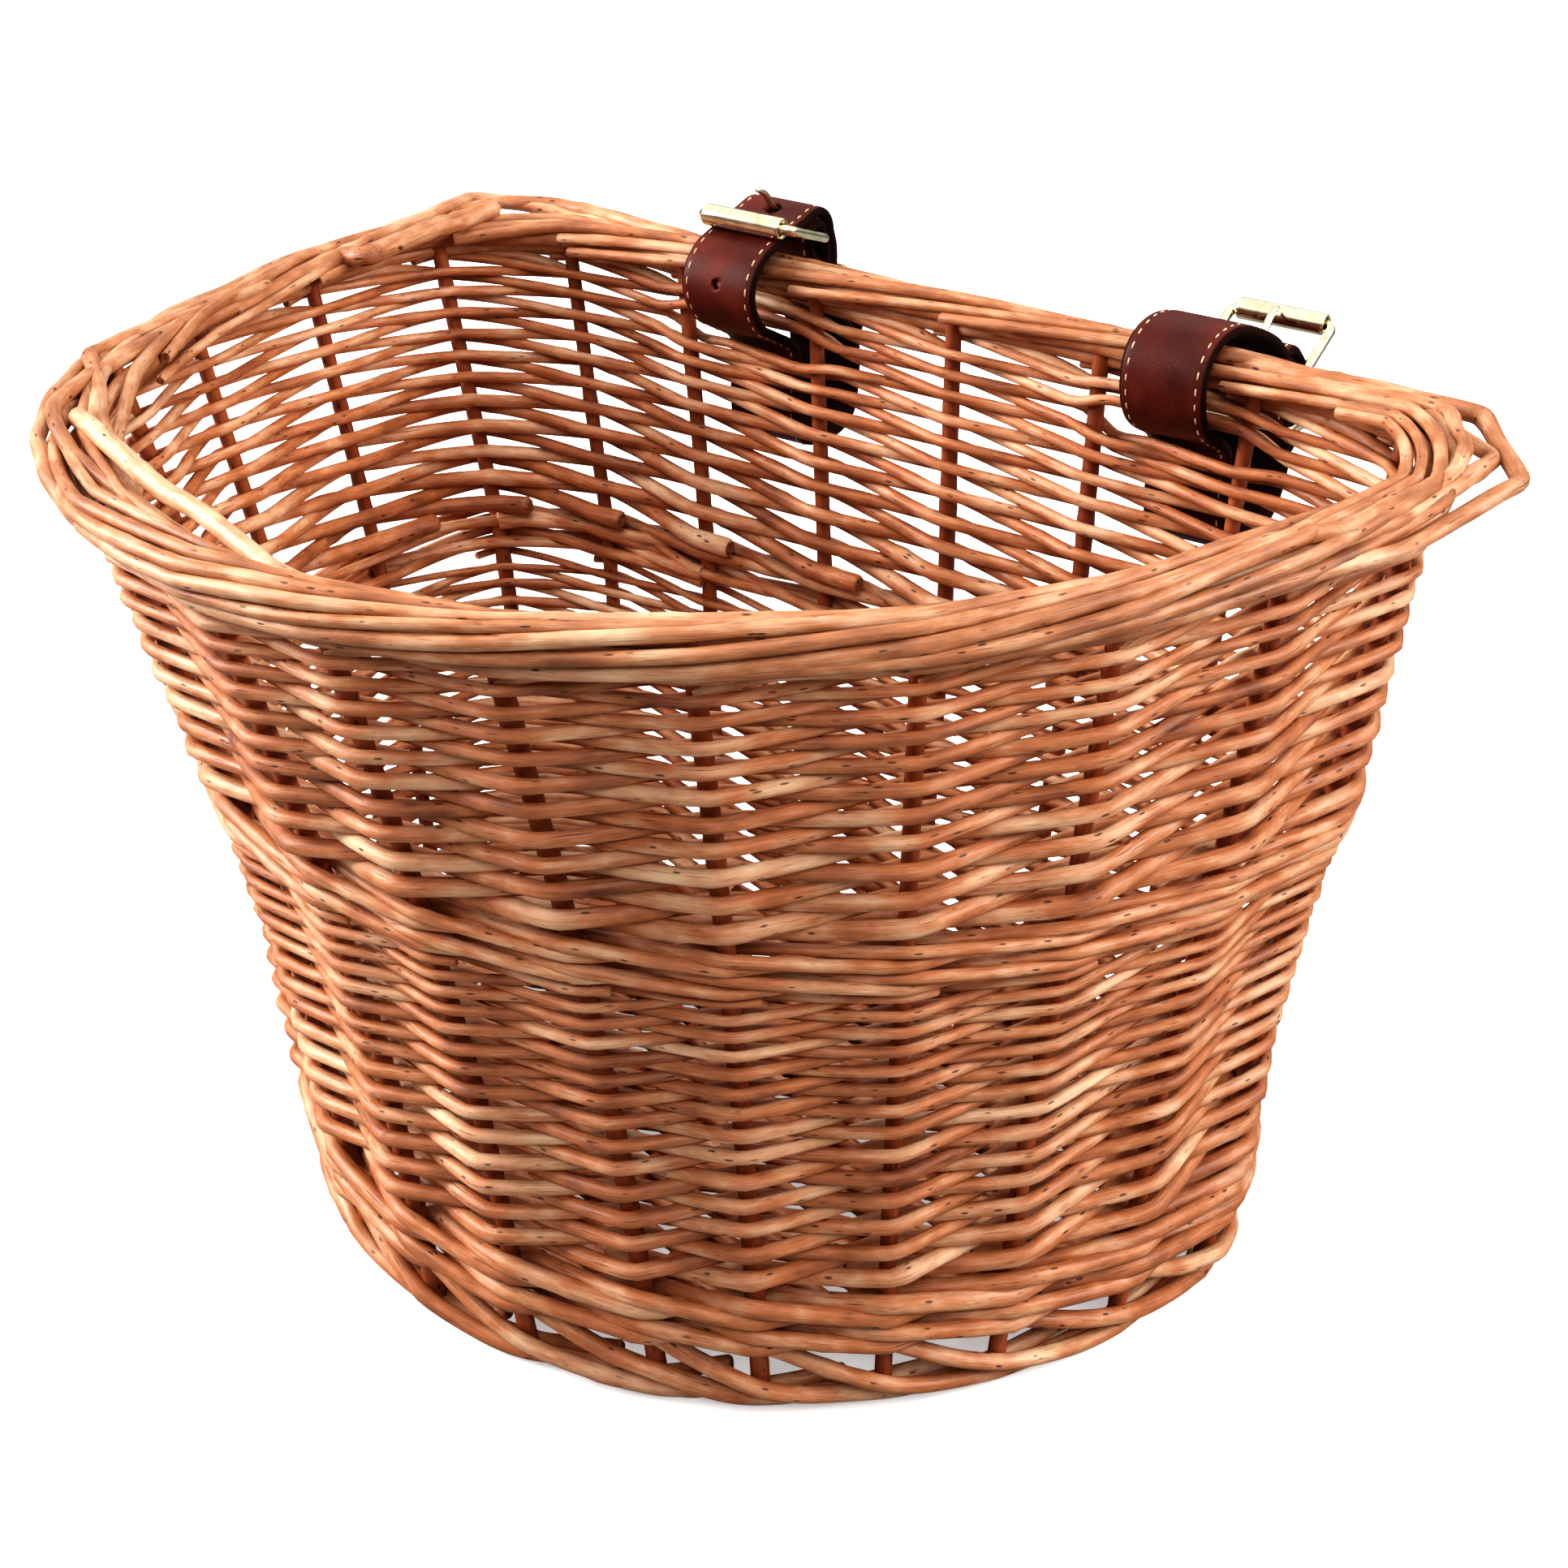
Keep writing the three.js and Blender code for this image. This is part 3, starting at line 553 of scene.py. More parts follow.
def part_round_straps(P, off, radius):
    """Rods near the slots are pushed up or down, so that a strap passes between them."""
    P = P.copy()
    for S in SIDES.values():
        x, y = P[:, 0] - SHIFT[0] - S["x"], P[:, 1] - SHIFT[1]
        near = (np.abs(x) < 34) & (y > -26)
        if not near.any():
            continue
        i = next(k for k, p in enumerate(S["path"]) if p[0] == -5.6)
        (y0, z0), (y1, z1) = S["path"][i - 1], S["path"][i]
        zc = z0 + (z1 - z0) * (y - y0) / (y1 - y0)
        dz = P[:, 2] - zc
        idx = np.where(near)[0]
        runs = np.split(idx, np.where(np.diff(idx) > 1)[0] + 1)
        for run in runs:
            m = run[np.argmin(np.abs(x[run]))]
            if abs(dz[m]) > PART_D + 3:
                continue
            sgn = 1.0 if dz[m] >= 0 else -1.0
            d = np.maximum(sgn * dz[run], 0)
            h = PART_H + radius[run]
            want = np.where(d < PART_D, h + d * (1 - h / PART_D), d)
            w = np.clip((33 - np.abs(x[run])) / 15, 0, 1)
            w = w * w * (3 - 2 * w)
            P[run, 2] += w * sgn * (want - d) + w * (sgn * d - dz[run])
    return P


def french_rand(z0, pitch0, pitch1, steps, seed, butt=1.35):
    """One rod per stake: in front of one, behind one, always rising to the right seen from outside."""
    T = Tubes()
    cum = lambda t: z0 + (pitch0 * t + (pitch1 - pitch0) * t * t / (2 * steps)) / 2
    for j in range(NS):
        rng = np.random.default_rng(seed * 1000 + j)
        lead = rng.uniform(0.20, 0.42)
        t = np.arange(-lead, steps + 0.22, 1 / 14)
        n = len(t)
        pitch = pitch0 + (pitch1 - pitch0) * np.clip(t, 0, steps) / steps
        r = pitch / 4 * 0.97
        r = r * (1 + (butt - 1) * np.exp(-(t + lead) / 0.9)) * (1 + 0.05 * smooth_noise(rng, n, steps / 2))
        z = cum(np.clip(t, 0, steps)) + np.minimum(t, 0) * -0.4
        z = z + 0.45 * smooth_noise(rng, n, steps * 0.9) * (r / 2)
        g = -kink(np.maximum(t, 0), 0.982)
        amp = STAKE_R + r * 1.0 + 0.25
        off = amp * g * (1 + 0.05 * smooth_noise(rng, n, steps)) + 0.35 * smooth_noise(rng, n, steps * 1.3)
        off = off - np.maximum(-t, 0) * 3.0
        P = place(j - t, z, off, 0.66)
        P = part_round_straps(P, off, r)
        T.add(P, r, rng, sides=10, knots=60)
    return T


def wale(z0, rise, d, rounds, seed):
    """Three rods: each in front of two stakes, behind one. Every round is level, stepping up at its end."""
    T = Tubes()
    total = NS * rounds + 2
    r0 = d / 2
    for c in range(3):
        rng = np.random.default_rng(seed * 1000 + c)
        start = 15
        m = np.arange(total + 1)
        phase = (m + c) % 3
        A = STAKE_R + r0 * 0.95
        off_k = np.choose(phase, [A, A, -A]).astype(float)
        z_k = np.choose(phase, [0.50 * d, -0.50 * d, 0.0]) + rng.normal(0, .22, total + 1)
        t = np.arange(0, total + 1e-6, 1 / 12)
        k = np.minimum(t.astype(int), total - 1)
        f = t - k
        g = f * f * (3 - 2 * f)
        g = 0.05 * g + 0.95 * f
        # round the corners at the stakes
        off = off_k[k] * (1 - g) + off_k[k + 1] * g
        zz = z_k[k] * (1 - g) + z_k[k + 1] * g
        w = np.array([.0, .2, .6, .2, .0])
        off = np.convolve(np.pad(off, 2, "edge"), w, "valid")
        zz = np.convolve(np.pad(zz, 2, "edge"), w, "valid")
        z = z0 + zz + .3 * smooth_noise(rng, len(t), total * .7)
        for turn in range(1, rounds):
            w = np.clip((t - (turn * NS - .4)) / 1.9, 0, 1)
            z += rise * w * w * (3 - 2 * w)
        off = off + .3 * smooth_noise(rng, len(t), total * .8)
        ends = np.clip(np.minimum(t, total - t) / 1.2, 0, 1)
        off = off * ends - (1 - ends) * A
        r = r0 * (1 + 0.08 * smooth_noise(rng, len(t), total / 2)) * np.clip(1.06 - 0.14 * ((t / 13) % 1), .7, 1.1)
        P = place(start - t, z, off, 0.5)
        T.add(P, r, rng, sides=10, knots=45)
    return T


def lay(j, t, z, off, chord):
    return place(j - t, z, off, chord)


def loose(T, pts, r, seed, crack=True):
    """A rod end left standing off the border, bent sharply at the given points."""
    rng = np.random.default_rng(seed)
    p = np.asarray(pts, float)
    s = np.r_[0, np.cumsum(np.linalg.norm(np.diff(p, axis=0), axis=1))]
    u = np.arange(0, s[-1], 1.1)
    q = np.column_stack([np.interp(u, s, p[:, i]) for i in range(3)])
    w = np.array([.08, .12, .18, .24, .18, .12, .08])
    for _ in range(1):
        q = np.column_stack([np.convolve(np.pad(q[:, i], 3, "reflect", reflect_type="odd"), w, "valid") for i in range(3)])
    n = len(q)
    q += np.column_stack([smooth_noise(rng, n, s[-1] / 14) for _ in range(3)]) * .35
    rr = np.interp(u, [0, s[-1]], r) * (1 + .06 * smooth_noise(rng, n, s[-1] / 12))
    T.add(q, rr, rng, sides=12, knots=45)


def run(s0, s1, z0, z1, off0, off1, n=5):
    """Points along the border, to carry a loose rod in or out of it."""
    P = place(np.linspace(s0, s1, n), np.linspace(z0, z1, n), np.linspace(off0, off1, n), .5)
    return [tuple(p) for p in P]


# rod ends standing off the border: right corner, back left, left corner
LOOSE = [
    ([(92, 102, 240), (120.5, 99.6, 241), (148.5, 98.5, 241), (158.5, 102.0, 239.5), (170.5, 86.5, 238), (181.6, 71.6, 235.8),
      (175.5, 49.5, 232.5), (172.0, 22.9, 231.5)] + run(.75, 2.2, 231.5, 234.5, 7.5, 0), (2.5, 1.9), 501),
    (run(18.6, 19.5, 233, 236, 0, -1, 4) + [(150.0, 93.5, 238), (160.5, 86.5, 238), (171.2, 80.5, 237), (171.0, 55.5, 236.6), (169.0, 27.4, 236.4)]
     + run(.8, 2.0, 236, 234.5, 4, 0), (2.3, 1.8), 502),
    (run(18.9, 19.5, 236, 239.5, -1, -2, 3) + [(140, 96.5, 241.4), (153.6, 94.6, 240.8), (165.0, 76.3, 239.6), (169.6, 59.1, 239), (167.4, 39.4, 239),
      (164.1, 8.7, 239.5)] + run(1.15, 2.3, 239, 235, -2, -1), (2.3, 1.9), 503),
    (run(11.1, 12.3, 234, 237.5, 0, 2, 4) + [(-158.6, 26.1, 238.6), (-162.2, 62.0, 240.4), (-163.8, 97.1, 241.4), (-147.7, 103.9, 241),
      (-131.8, 106.8, 239.5)] + run(14.75, 15.6, 237, 234, 1, 0, 3), (2.1, 2.6), 504),
    (run(11.3, 12.2, 235, 239, -2, -4, 4) + [(-146.3, 32.1, 241.2), (-148.4, 62.3, 242), (-147.4, 88.8, 243.2)], (2.5, 2.9), 505),
    (run(12.6, 13.3, 233, 237, 2, 2, 3) + [(-161.9, 84.4, 239.5), (-154.5, 100.5, 241.4), (-139.4, 107.0, 241.8), (-116.5, 107.8, 241.4)]
     + run(15.2, 16.2, 240, 235, 2, 0, 4), (2.0, 2.4), 506),
    (run(11.9, 11.2, 235, 238, 0, 2, 3) + [(-143.2, -64.1, 238.4), (-140.9, -80.4, 238.6), (-131.3, -97.2, 238), (-114.0, -118.6, 236.4),
      (-97.3, -130.2, 234.4)] + run(8.1, 6.7, 232.5, 234.5, 7, 0), (2.0, 2.3), 507),
    (run(11.8, 11.2, 237, 239.5, 0, -1, 3) + [(-129.5, -86.6, 240.4), (-118.5, -108.7, 240.8), (-105.9, -119.0, 240.8), (-92.4, -126.6, 239.6),
      (-66.8, -135.6, 238)] + run(7.4, 6.6, 237, 234, 2, 0, 4), (1.9, 2.2), 508),
    ([(-106.4, -112.0, 241.6), (-86.6, -121.5, 242.4), (-53.1, -135.6, 242.4), (-27.6, -142.8, 242)] + run(6.4, 5.4, 241, 235, -3, -2, 4), (2.5, 2.1), 509),
    (run(11.6, 11.3, 238, 240, -2, -2, 2) + [(-142.2, -75.7, 240.8), (-131.7, -82.7, 240.6), (-106.0, -105.2, 238.6), (-84.1, -119.0, 235)], (2.2, 1.9), 510),
]


def border(seed):
    """Each stake's end comes out of the wall, is laid down to the right and wrapped over the ones before it."""
    T = Tubes()
    zc = 234.6
    for j in range(NS):
        rng = np.random.default_rng(seed * 1000 + j)
        L = 7.4 + rng.uniform(-.7, .6)
        t = np.arange(0, L, 1 / 14)
        n = len(t)
        phi = np.radians(-88 + 36 * t + rng.normal(0, 4) + 8 * smooth_noise(rng, n, 6))
        A = 7.0 + 1.0 * smooth_noise(rng, n, 6)
        B = 6.0 + .8 * smooth_noise(rng, n, 6)
        r = (2.0 - .06 * t) * rng.uniform(.86, 1.12) * (1 + 0.08 * smooth_noise(rng, n, 6))
        w = np.clip(t / .7, 0, 1)
        w = w * w * (3 - 2 * w)
        off = A * np.cos(phi) * w + (1 - w) * 1.0
        z = (zc + B * np.sin(phi)) * w + (224.5 + 12 * t) * (1 - w)
        z = np.minimum(z, 243.6 - r)
        P = lay(j, t, z, off, 0.55)
        T.add(P, r, rng, sides=12, knots=55)
    # two rods laid along inside the turns
    for i, (o0, z0) in enumerate(((1.8, 232.6), (-1.8, 236.2))):
        rng = np.random.default_rng(seed * 1000 + 50 + i)
        s = np.arange(3.0, 3.0 + NS + .3, 1 / 12)
        n = len(s)
        P = place(s, z0 + .5 * smooth_noise(rng, n, 40), o0 + .5 * smooth_noise(rng, n, 40), .4)
        T.add(P, 2.5 + .15 * smooth_noise(rng, n, 50), rng, sides=10, knots=60, tone=.35)
    for pts, r, sd in LOOSE:
        loose(T, pts, r, sd)
    return T


def foot(seed):
    """Each stake's lower end turned to the right and laid along the floor."""
    T = Tubes()
    ct = np.array([-0.15, 0.2, 0.6, 1.1, 1.7, 2.4, 3.1, 3.8, 4.4])
    cz = np.array([24.0, 19.0, 13.0, 7.6, 3.6, 2.6, 4.4, 9.5, 14.5])
    co = np.array([0.0, 1.6, 3.6, 4.2, 2.6, -0.8, -3.2, -4.4, -4.6])
    for j in range(NS):
        rng = np.random.default_rng(seed * 1000 + j)
        t = np.arange(-0.15, 3.7, 1 / 12)
        n = len(t)
        shift = rng.uniform(-.12, .12)
        z = np.interp(t + shift, ct, cz)
        off = np.interp(t + shift, ct, co)
        w = np.hanning(11)
        w /= w.sum()
        z = np.convolve(np.pad(z, 5, "edge"), w, "valid")
        off = np.convolve(np.pad(off, 5, "edge"), w, "valid")
        r = (2.5 - 0.10 * t) * (1 + 0.07 * smooth_noise(rng, n, 5))
        off = off + .6 * smooth_noise(rng, n, 6)
        z = np.maximum(z + 0.9 * smooth_noise(rng, n, 6), r + 0.02)
        P = lay(j, t, z, off, 0.5)
        T.add(P, r, rng, sides=12, knots=50)
    return T


def upright_stakes(seed):
    T = Tubes()
    for j in range(NS):
        rng = np.random.default_rng(seed * 1000 + j)
        z = np.linspace(4.8, 238.0, 50)
        off = 0.25 * smooth_noise(rng, len(z), 8)
        P = place(np.full(len(z), float(j)), z, off, 0.0)
        T.add(P, STAKE_R * (1.06 - 0.10 * (z - 5) / 228) * (1 + .03 * smooth_noise(rng, len(z), 9)), rng, sides=10, knots=50)
    return T


def base(seed):
    sticks, weave = Tubes(), Tubes()
    xs = [-96, -64, -32, 0, 32, 64, 96]
    zf = 24.8
    edge = wall(np.arange(720) / 720, 24.0)
    ex, ey = edge[:, 0] - edge[:, 2] * 4.5, edge[:, 1] - edge[:, 3] * 4.5
    for i, x in enumerate(xs):
        rng = np.random.default_rng(seed * 1000 + i)
        near = np.abs(ex - x - SHIFT[0]) < 3
        y0, y1 = ey[near].min(), ey[near].max()
        y = np.linspace(y0, y1, 40)
        P = np.column_stack([np.full(40, x + SHIFT[0]) + .4 * smooth_noise(rng, 40, 4), y, np.full(40, zf) + .2 * smooth_noise(rng, 40, 5)])
        sticks.add(P, 2.9, rng, sides=10, knots=40)
    pitch = 4.7
    y = ey.min() + 5
    k = 0
    X = np.array(xs) + SHIFT[0]
    while y < ey.max() - 1.5:
        rng = np.random.default_rng(seed * 1000 + 100 + k)
        near = np.abs(ey - y) < 3
        x0, x1 = ex[near].min(), ex[near].max()
        n = max(int((x1 - x0) / 2.6), 8)
        x = np.linspace(x0, x1, n)
        s = (x - X[0]) / 32.0
        r = 1.95 * (1 + .07 * smooth_noise(rng, n, 6))
        z = zf + (2.9 * .8 + r * .85) * kink(s + k, .9) * .92
        P = np.column_stack([x, y + .5 * smooth_noise(rng, n, 5), z])
        weave.add(P, r, rng, sides=8, knots=60)
        y += pitch * rng.uniform(.94, 1.06)
        k += 1
    return sticks, weave


STAKE_NODES = [f"stake_{i:02d}" for i in range(1, NS + 1)]
STICK_NODES = [f"base_stick_{i}" for i in range(1, 8)]


def basket_piece(tubes, name, mats, slot, *nodes):
    o = tubes.make(name, mats)
    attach(o, "basket")
    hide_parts(*nodes)
    return o


basket_piece(french_rand(154.0, 8.8, 5.5, 21, 11), "upper_rand_rods", [M_WILLOW, M_END], "willow", "upper_weave")
basket_piece(french_rand(41.9, 9.1, 4.9, 27, 12), "lower_rand_rods", [M_WILLOW, M_END], "willow", "lower_weave")
basket_piece(wale(141.6, 7.0, 3.5, 2, 13), "mid_wale_rods", [M_WILLOW, M_END], "willow_pale", "mid_wale")
basket_piece(wale(25.2, 9.6, 4.7, 2, 14), "lower_wale_rods", [M_WILLOW, M_END], "willow_pale", "lower_wale")
basket_piece(border(15), "rolled_border_rods", [M_PALE, M_END], "willow_pale", "rim_border")
basket_piece(foot(16), "foot_border_rods", [M_WILLOW, M_END], "willow", "foot_border")
basket_piece(upright_stakes(17), "upright_stake_rods", [M_DARK, M_END], "willow_dark", *STAKE_NODES)
_sticks, _weave = base(18)
basket_piece(_sticks, "base_stick_rods", [M_DARK, M_END], "willow_dark", *STICK_NODES)
basket_piece(_weave, "base_weave_rods", [M_WILLOW, M_END], "willow_pale", "base_weave")

# ---------------------------------------------------------------------------
# Straps and buckles
# ---------------------------------------------------------------------------


def simple_mesh(name, verts, faces, mats, smooth=True):
    me = bpy.data.meshes.new(name)
    me.from_pydata([tuple(v) for v in (np.asarray(verts) * MM)], [], [tuple(int(i) for i in f) for f in faces])
    for m in mats:
        me.materials.append(m)
    me.update()
    if smooth:
        me.polygons.foreach_set("use_smooth", np.ones(len(me.polygons), bool))
    o = bpy.data.objects.new(name, me)
    bpy.context.scene.collection.objects.link(o)
    return o


def sweep(loops, closed):
    """Faces between equal loops, closed on themselves or capped."""
    loops = [np.asarray(l) for l in loops]
    m, n = len(loops), len(loops[0])
    V = np.vstack(loops)
    F = []
    for s in range(m if closed else m - 1):
        t = (s + 1) % m
        for i in range(n):
            j = (i + 1) % n
            F.append([s * n + i, s * n + j, t * n + j, t * n + i])
    if not closed:
        F.append(list(range(n))[::-1])
        F.append([(m - 1) * n + i for i in range(n)])
    return V, F


def fine_path(path, step=1.0):
    """Smooth curve through the profile's points, at even steps."""
    p = np.asarray(path, float)
    q = np.vstack([2 * p[0] - p[1], p, 2 * p[-1] - p[-2]])
    out = []
    for i in range(len(p) - 1):
        a, b, c, d = q[i], q[i + 1], q[i + 2], q[i + 3]
        n = max(int(np.linalg.norm(c - b) / 0.4), 2)
        tb, tc, td = (np.linalg.norm(b - a) ** .5, np.linalg.norm(c - b) ** .5, np.linalg.norm(d - c) ** .5)
        m1 = (c - b) + tc * ((b - a) / tb - (c - a) / (tb + tc))
        m2 = (c - b) + tc * ((d - c) / td - (d - b) / (tc + td))
        for k in range(n):
            t = k / n
            out.append((2 * t**3 - 3 * t**2 + 1) * b + (t**3 - 2 * t**2 + t) * m1 + (-2 * t**3 + 3 * t**2) * c + (t**3 - t**2) * m2)
    out.append(p[-1])
    out = np.array(out)
    s = np.r_[0, np.cumsum(np.linalg.norm(np.diff(out, axis=0), axis=1))]
    u = np.linspace(0, s[-1], int(s[-1] / step) + 1)
    return np.column_stack([np.interp(u, s, out[:, 0]), np.interp(u, s, out[:, 1])])


def cut(o, cutters):
    for c in cutters:
        m = o.modifiers.new("cut", "BOOLEAN")
        m.operation = "DIFFERENCE"
        m.solver = "EXACT"
        m.object = c
    bpy.context.view_layer.update()
    dg = bpy.context.evaluated_depsgraph_get()
    me = bpy.data.meshes.new_from_object(o.evaluated_get(dg), preserve_all_data_layers=True, depsgraph=dg)
    o.modifiers.clear()
    old = o.data
    o.data = me
    bpy.data.meshes.remove(old)
    for c in cutters:
        d = c.data
        bpy.data.objects.remove(c)
        bpy.data.meshes.remove(d)


def pin_mesh(name, a, b, r, sides=20):
    a, b = np.asarray(a, float), np.asarray(b, float)
    d = (b - a) / np.linalg.norm(b - a)
    u = np.cross(d, [1.0, 0, 0])
    if np.linalg.norm(u) < .3:
        u = np.cross(d, [0, 1.0, 0])
    u /= np.linalg.norm(u)
    v = np.cross(d, u)
    th = 2 * np.pi * np.arange(sides) / sides
    ring = r * (np.cos(th)[:, None] * u + np.sin(th)[:, None] * v)
    V, F = sweep([a + ring, b + ring], False)
    return simple_mesh(name, V, F, [M_LEATHER])


def polar(c, r, deg):
    return np.array([c[0] + r * math.cos(math.radians(deg)), c[1] + r * math.sin(math.radians(deg))])


def at(x, yz):
    return np.array([x + SHIFT[0], yz[0] + SHIFT[1], yz[1]])


def strap(side):
    S = SIDES[side]
    p = fine_path(S["path"], 1.1)
    d = np.gradient(p, axis=0)
    d /= np.linalg.norm(d, axis=1)[:, None]
    nrm = np.column_stack([-d[:, 1], d[:, 0]])
    hw, ht = STRAP_W / 2, STRAP_T / 2
    # section: x across, h through the thickness, edges rounded and slightly pinched
    sec = []
    xs = np.linspace(-hw + 1.2, hw - 1.2, 13)
    crown = lambda x: ht - 0.22 * (abs(x) / hw) ** 6
    for x in xs:
        sec.append((x, crown(x)))
    for a in (60, 30, 0, -30, -60):
        sec.append((hw - 1.2 + 1.2 * math.cos(math.radians(a)), (ht - .2) * math.sin(math.radians(a))))
    for x in xs[::-1]:
        sec.append((x, -crown(x)))
    for a in (240, 210, 180, 150, 120):
        sec.append((-hw + 1.2 + 1.2 * math.cos(math.radians(a)), (ht - .2) * math.sin(math.radians(a))))
    sec = np.array(sec)
    loops = []
    n = len(p)
    dist_end = 1.1 * (n - 1 - np.arange(n))
    for i in range(n):
        # the tail's end is cut to a rounded point
        w = 1.0
        if dist_end[i] < 9:
            w = 0.42 + 0.58 * math.sqrt(max(1 - (1 - dist_end[i] / 9) ** 2, 0))
        x = sec[:, 0] * w
        yz = p[i] + nrm[i] * sec[:, 1][:, None]
        loops.append(np.column_stack([x + S["x"] + SHIFT[0], yz[:, 0] + SHIFT[1], yz[:, 1]]))
    V, F = sweep(loops, False)
    o = simple_mesh(side + "_strap_leather", V, F, [M_LEATHER])
    me = o.data
    k = len(sec)
    edge = np.tile((np.abs(sec[:, 0]) > hw - 0.95).astype(float), n)
    flesh = np.tile((sec[:, 1] < -0.6).astype(float) * (np.abs(sec[:, 0]) <= hw - 0.9), n)
    for nm, val in (("edge", edge), ("flesh", flesh)):
        a = me.attributes.new(nm, "FLOAT", "POINT")
        a.data.foreach_set("value", val.astype(np.float32))
    h = S["hinge"]
    cutters = []
    V2, F2 = sweep([np.array([[S["x"] + SHIFT[0] + sx * 1.9, *(at(0, polar(h, FOLD_R + 1.9, t))[1:])] for t in np.linspace(0, 342, 20)]) for sx in (-1, 1)], False)
    cutters.append(simple_mesh("slot_cutter", V2, F2, [M_LEATHER]))
    cutters.append(pin_mesh("prong_cutter", at(S["x"], polar(h, 3.4, S["prong"])), at(S["x"], polar(h, 12, S["prong"])), PRONG_R + 1.3))
    # the hole is longer on the side where the prong bends down to the bar
    across = np.array([math.cos(math.radians(S["prong"] + 90)), math.sin(math.radians(S["prong"] + 90))]) * -S["curl"]
    cutters.append(pin_mesh("bend_cutter", at(S["x"], np.array(polar(h, 3.6, S["prong"])) + across * 2.9),
                            at(S["x"], np.array(polar(h, 9.0, S["prong"])) + across * .3), PRONG_R + .85))
    # spare holes along the strap
    s = 1.1 * np.arange(n)
    holes = {"left": [(-16.5, 235.6)], "right": [(12.6, 244.0)]}[side]
    for hy, hz in holes:
        i = int(np.argmin(np.hypot(p[:, 0] - hy, p[:, 1] - hz)))
        cutters.append(pin_mesh("hole_cutter", at(S["x"], p[i] - nrm[i] * 3), at(S["x"], p[i] + nrm[i] * 3), 1.5))
    cut(o, cutters)
    me = o.data
    me.polygons.foreach_set("use_smooth", np.ones(len(me.polygons), bool))
    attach(o, side + "_strap")
    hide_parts(side + "_strap" if side + "_strap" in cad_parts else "strap_" + side)
    # stitching: short raised stitches along both edges on the finished face
    T = Tubes()
    rng = np.random.default_rng(77 if side == "left" else 78)
    pitch, length = 3.9, 2.6
    roller = polar(h, FRAME_L, S["frame"])
    total = s[-1]
    pos = 3.0
    while pos < total - 5.0:
        for sx in (-1, 1):
            u = np.linspace(pos, pos + length, 5)
            w = 1.0
            if total - pos < 11:
                w = 0.42 + 0.58 * math.sqrt(max(1 - (1 - (total - pos) / 11) ** 2, 0))
            y = np.interp(u, s, p[:, 0])
            z = np.interp(u, s, p[:, 1])
            ny, nz = np.interp(u, s, nrm[:, 0]), np.interp(u, s, nrm[:, 1])
            lift = ht - 0.18 + np.array([-.28, .10, .16, .10, -.28])
            # pressed flat under the roller
            gap = np.hypot(y + ny * lift - roller[0], z + nz * lift - roller[1]) - ROLLER_R - .23
            lift = lift - np.clip(.15 - gap, 0, .4)
            xx = S["x"] + sx * (hw - 2.4) * w + rng.uniform(-.08, .08)
            P = np.column_stack([np.full(5, xx + SHIFT[0]), y + ny * lift + SHIFT[1], z + nz * lift])
            T.add(P, np.array([.12, .21, .23, .21, .12]), rng, sides=6, bevel=False)
        pos += pitch
    st = T.make(side + "_strap_stitching", [M_THREAD, M_THREAD])
    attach(st, side + "_strap")
    return o


def wire_loop(pts, r, normal, sides=14, squash=(1.0, 1.0)):
    pts = [np.asarray(p, float) for p in pts]
    nrm = np.asarray(normal, float)
    nrm /= np.linalg.norm(nrm)
    m = len(pts)
    th = 2 * np.pi * np.arange(sides) / sides
    loops = []
    for i in range(m):
        d = pts[(i + 1) % m] - pts[i - 1]
        d /= np.linalg.norm(d)
        side = np.cross(nrm, d)
        side /= np.linalg.norm(side)
        loops.append(pts[i] + r * (squash[0] * np.cos(th)[:, None] * side + squash[1] * np.sin(th)[:, None] * nrm))
    return sweep(loops, True)


def rounded_loop(c, u, v, hu, hv, rad, steps=8, along=10):
    c, u, v = (np.asarray(k, float) for k in (c, u, v))
    corners = []
    for su, sv, a0 in ((1, 1, 0), (-1, 1, 90), (-1, -1, 180), (1, -1, 270)):
        for i in range(steps + 1):
            t = math.radians(a0 + 90 * i / steps)
            corners.append(c + u * (su * (hu - rad) + rad * math.cos(t)) + v * (sv * (hv - rad) + rad * math.sin(t)))
    # straight runs get points of their own
    out = []
    m = len(corners)
    for i in range(m):
        a, b = corners[i], corners[(i + 1) % m]
        out.append(a)
        if np.linalg.norm(b - a) > 3:
            for k in range(1, along):
                out.append(a + (b - a) * k / along)
    return out


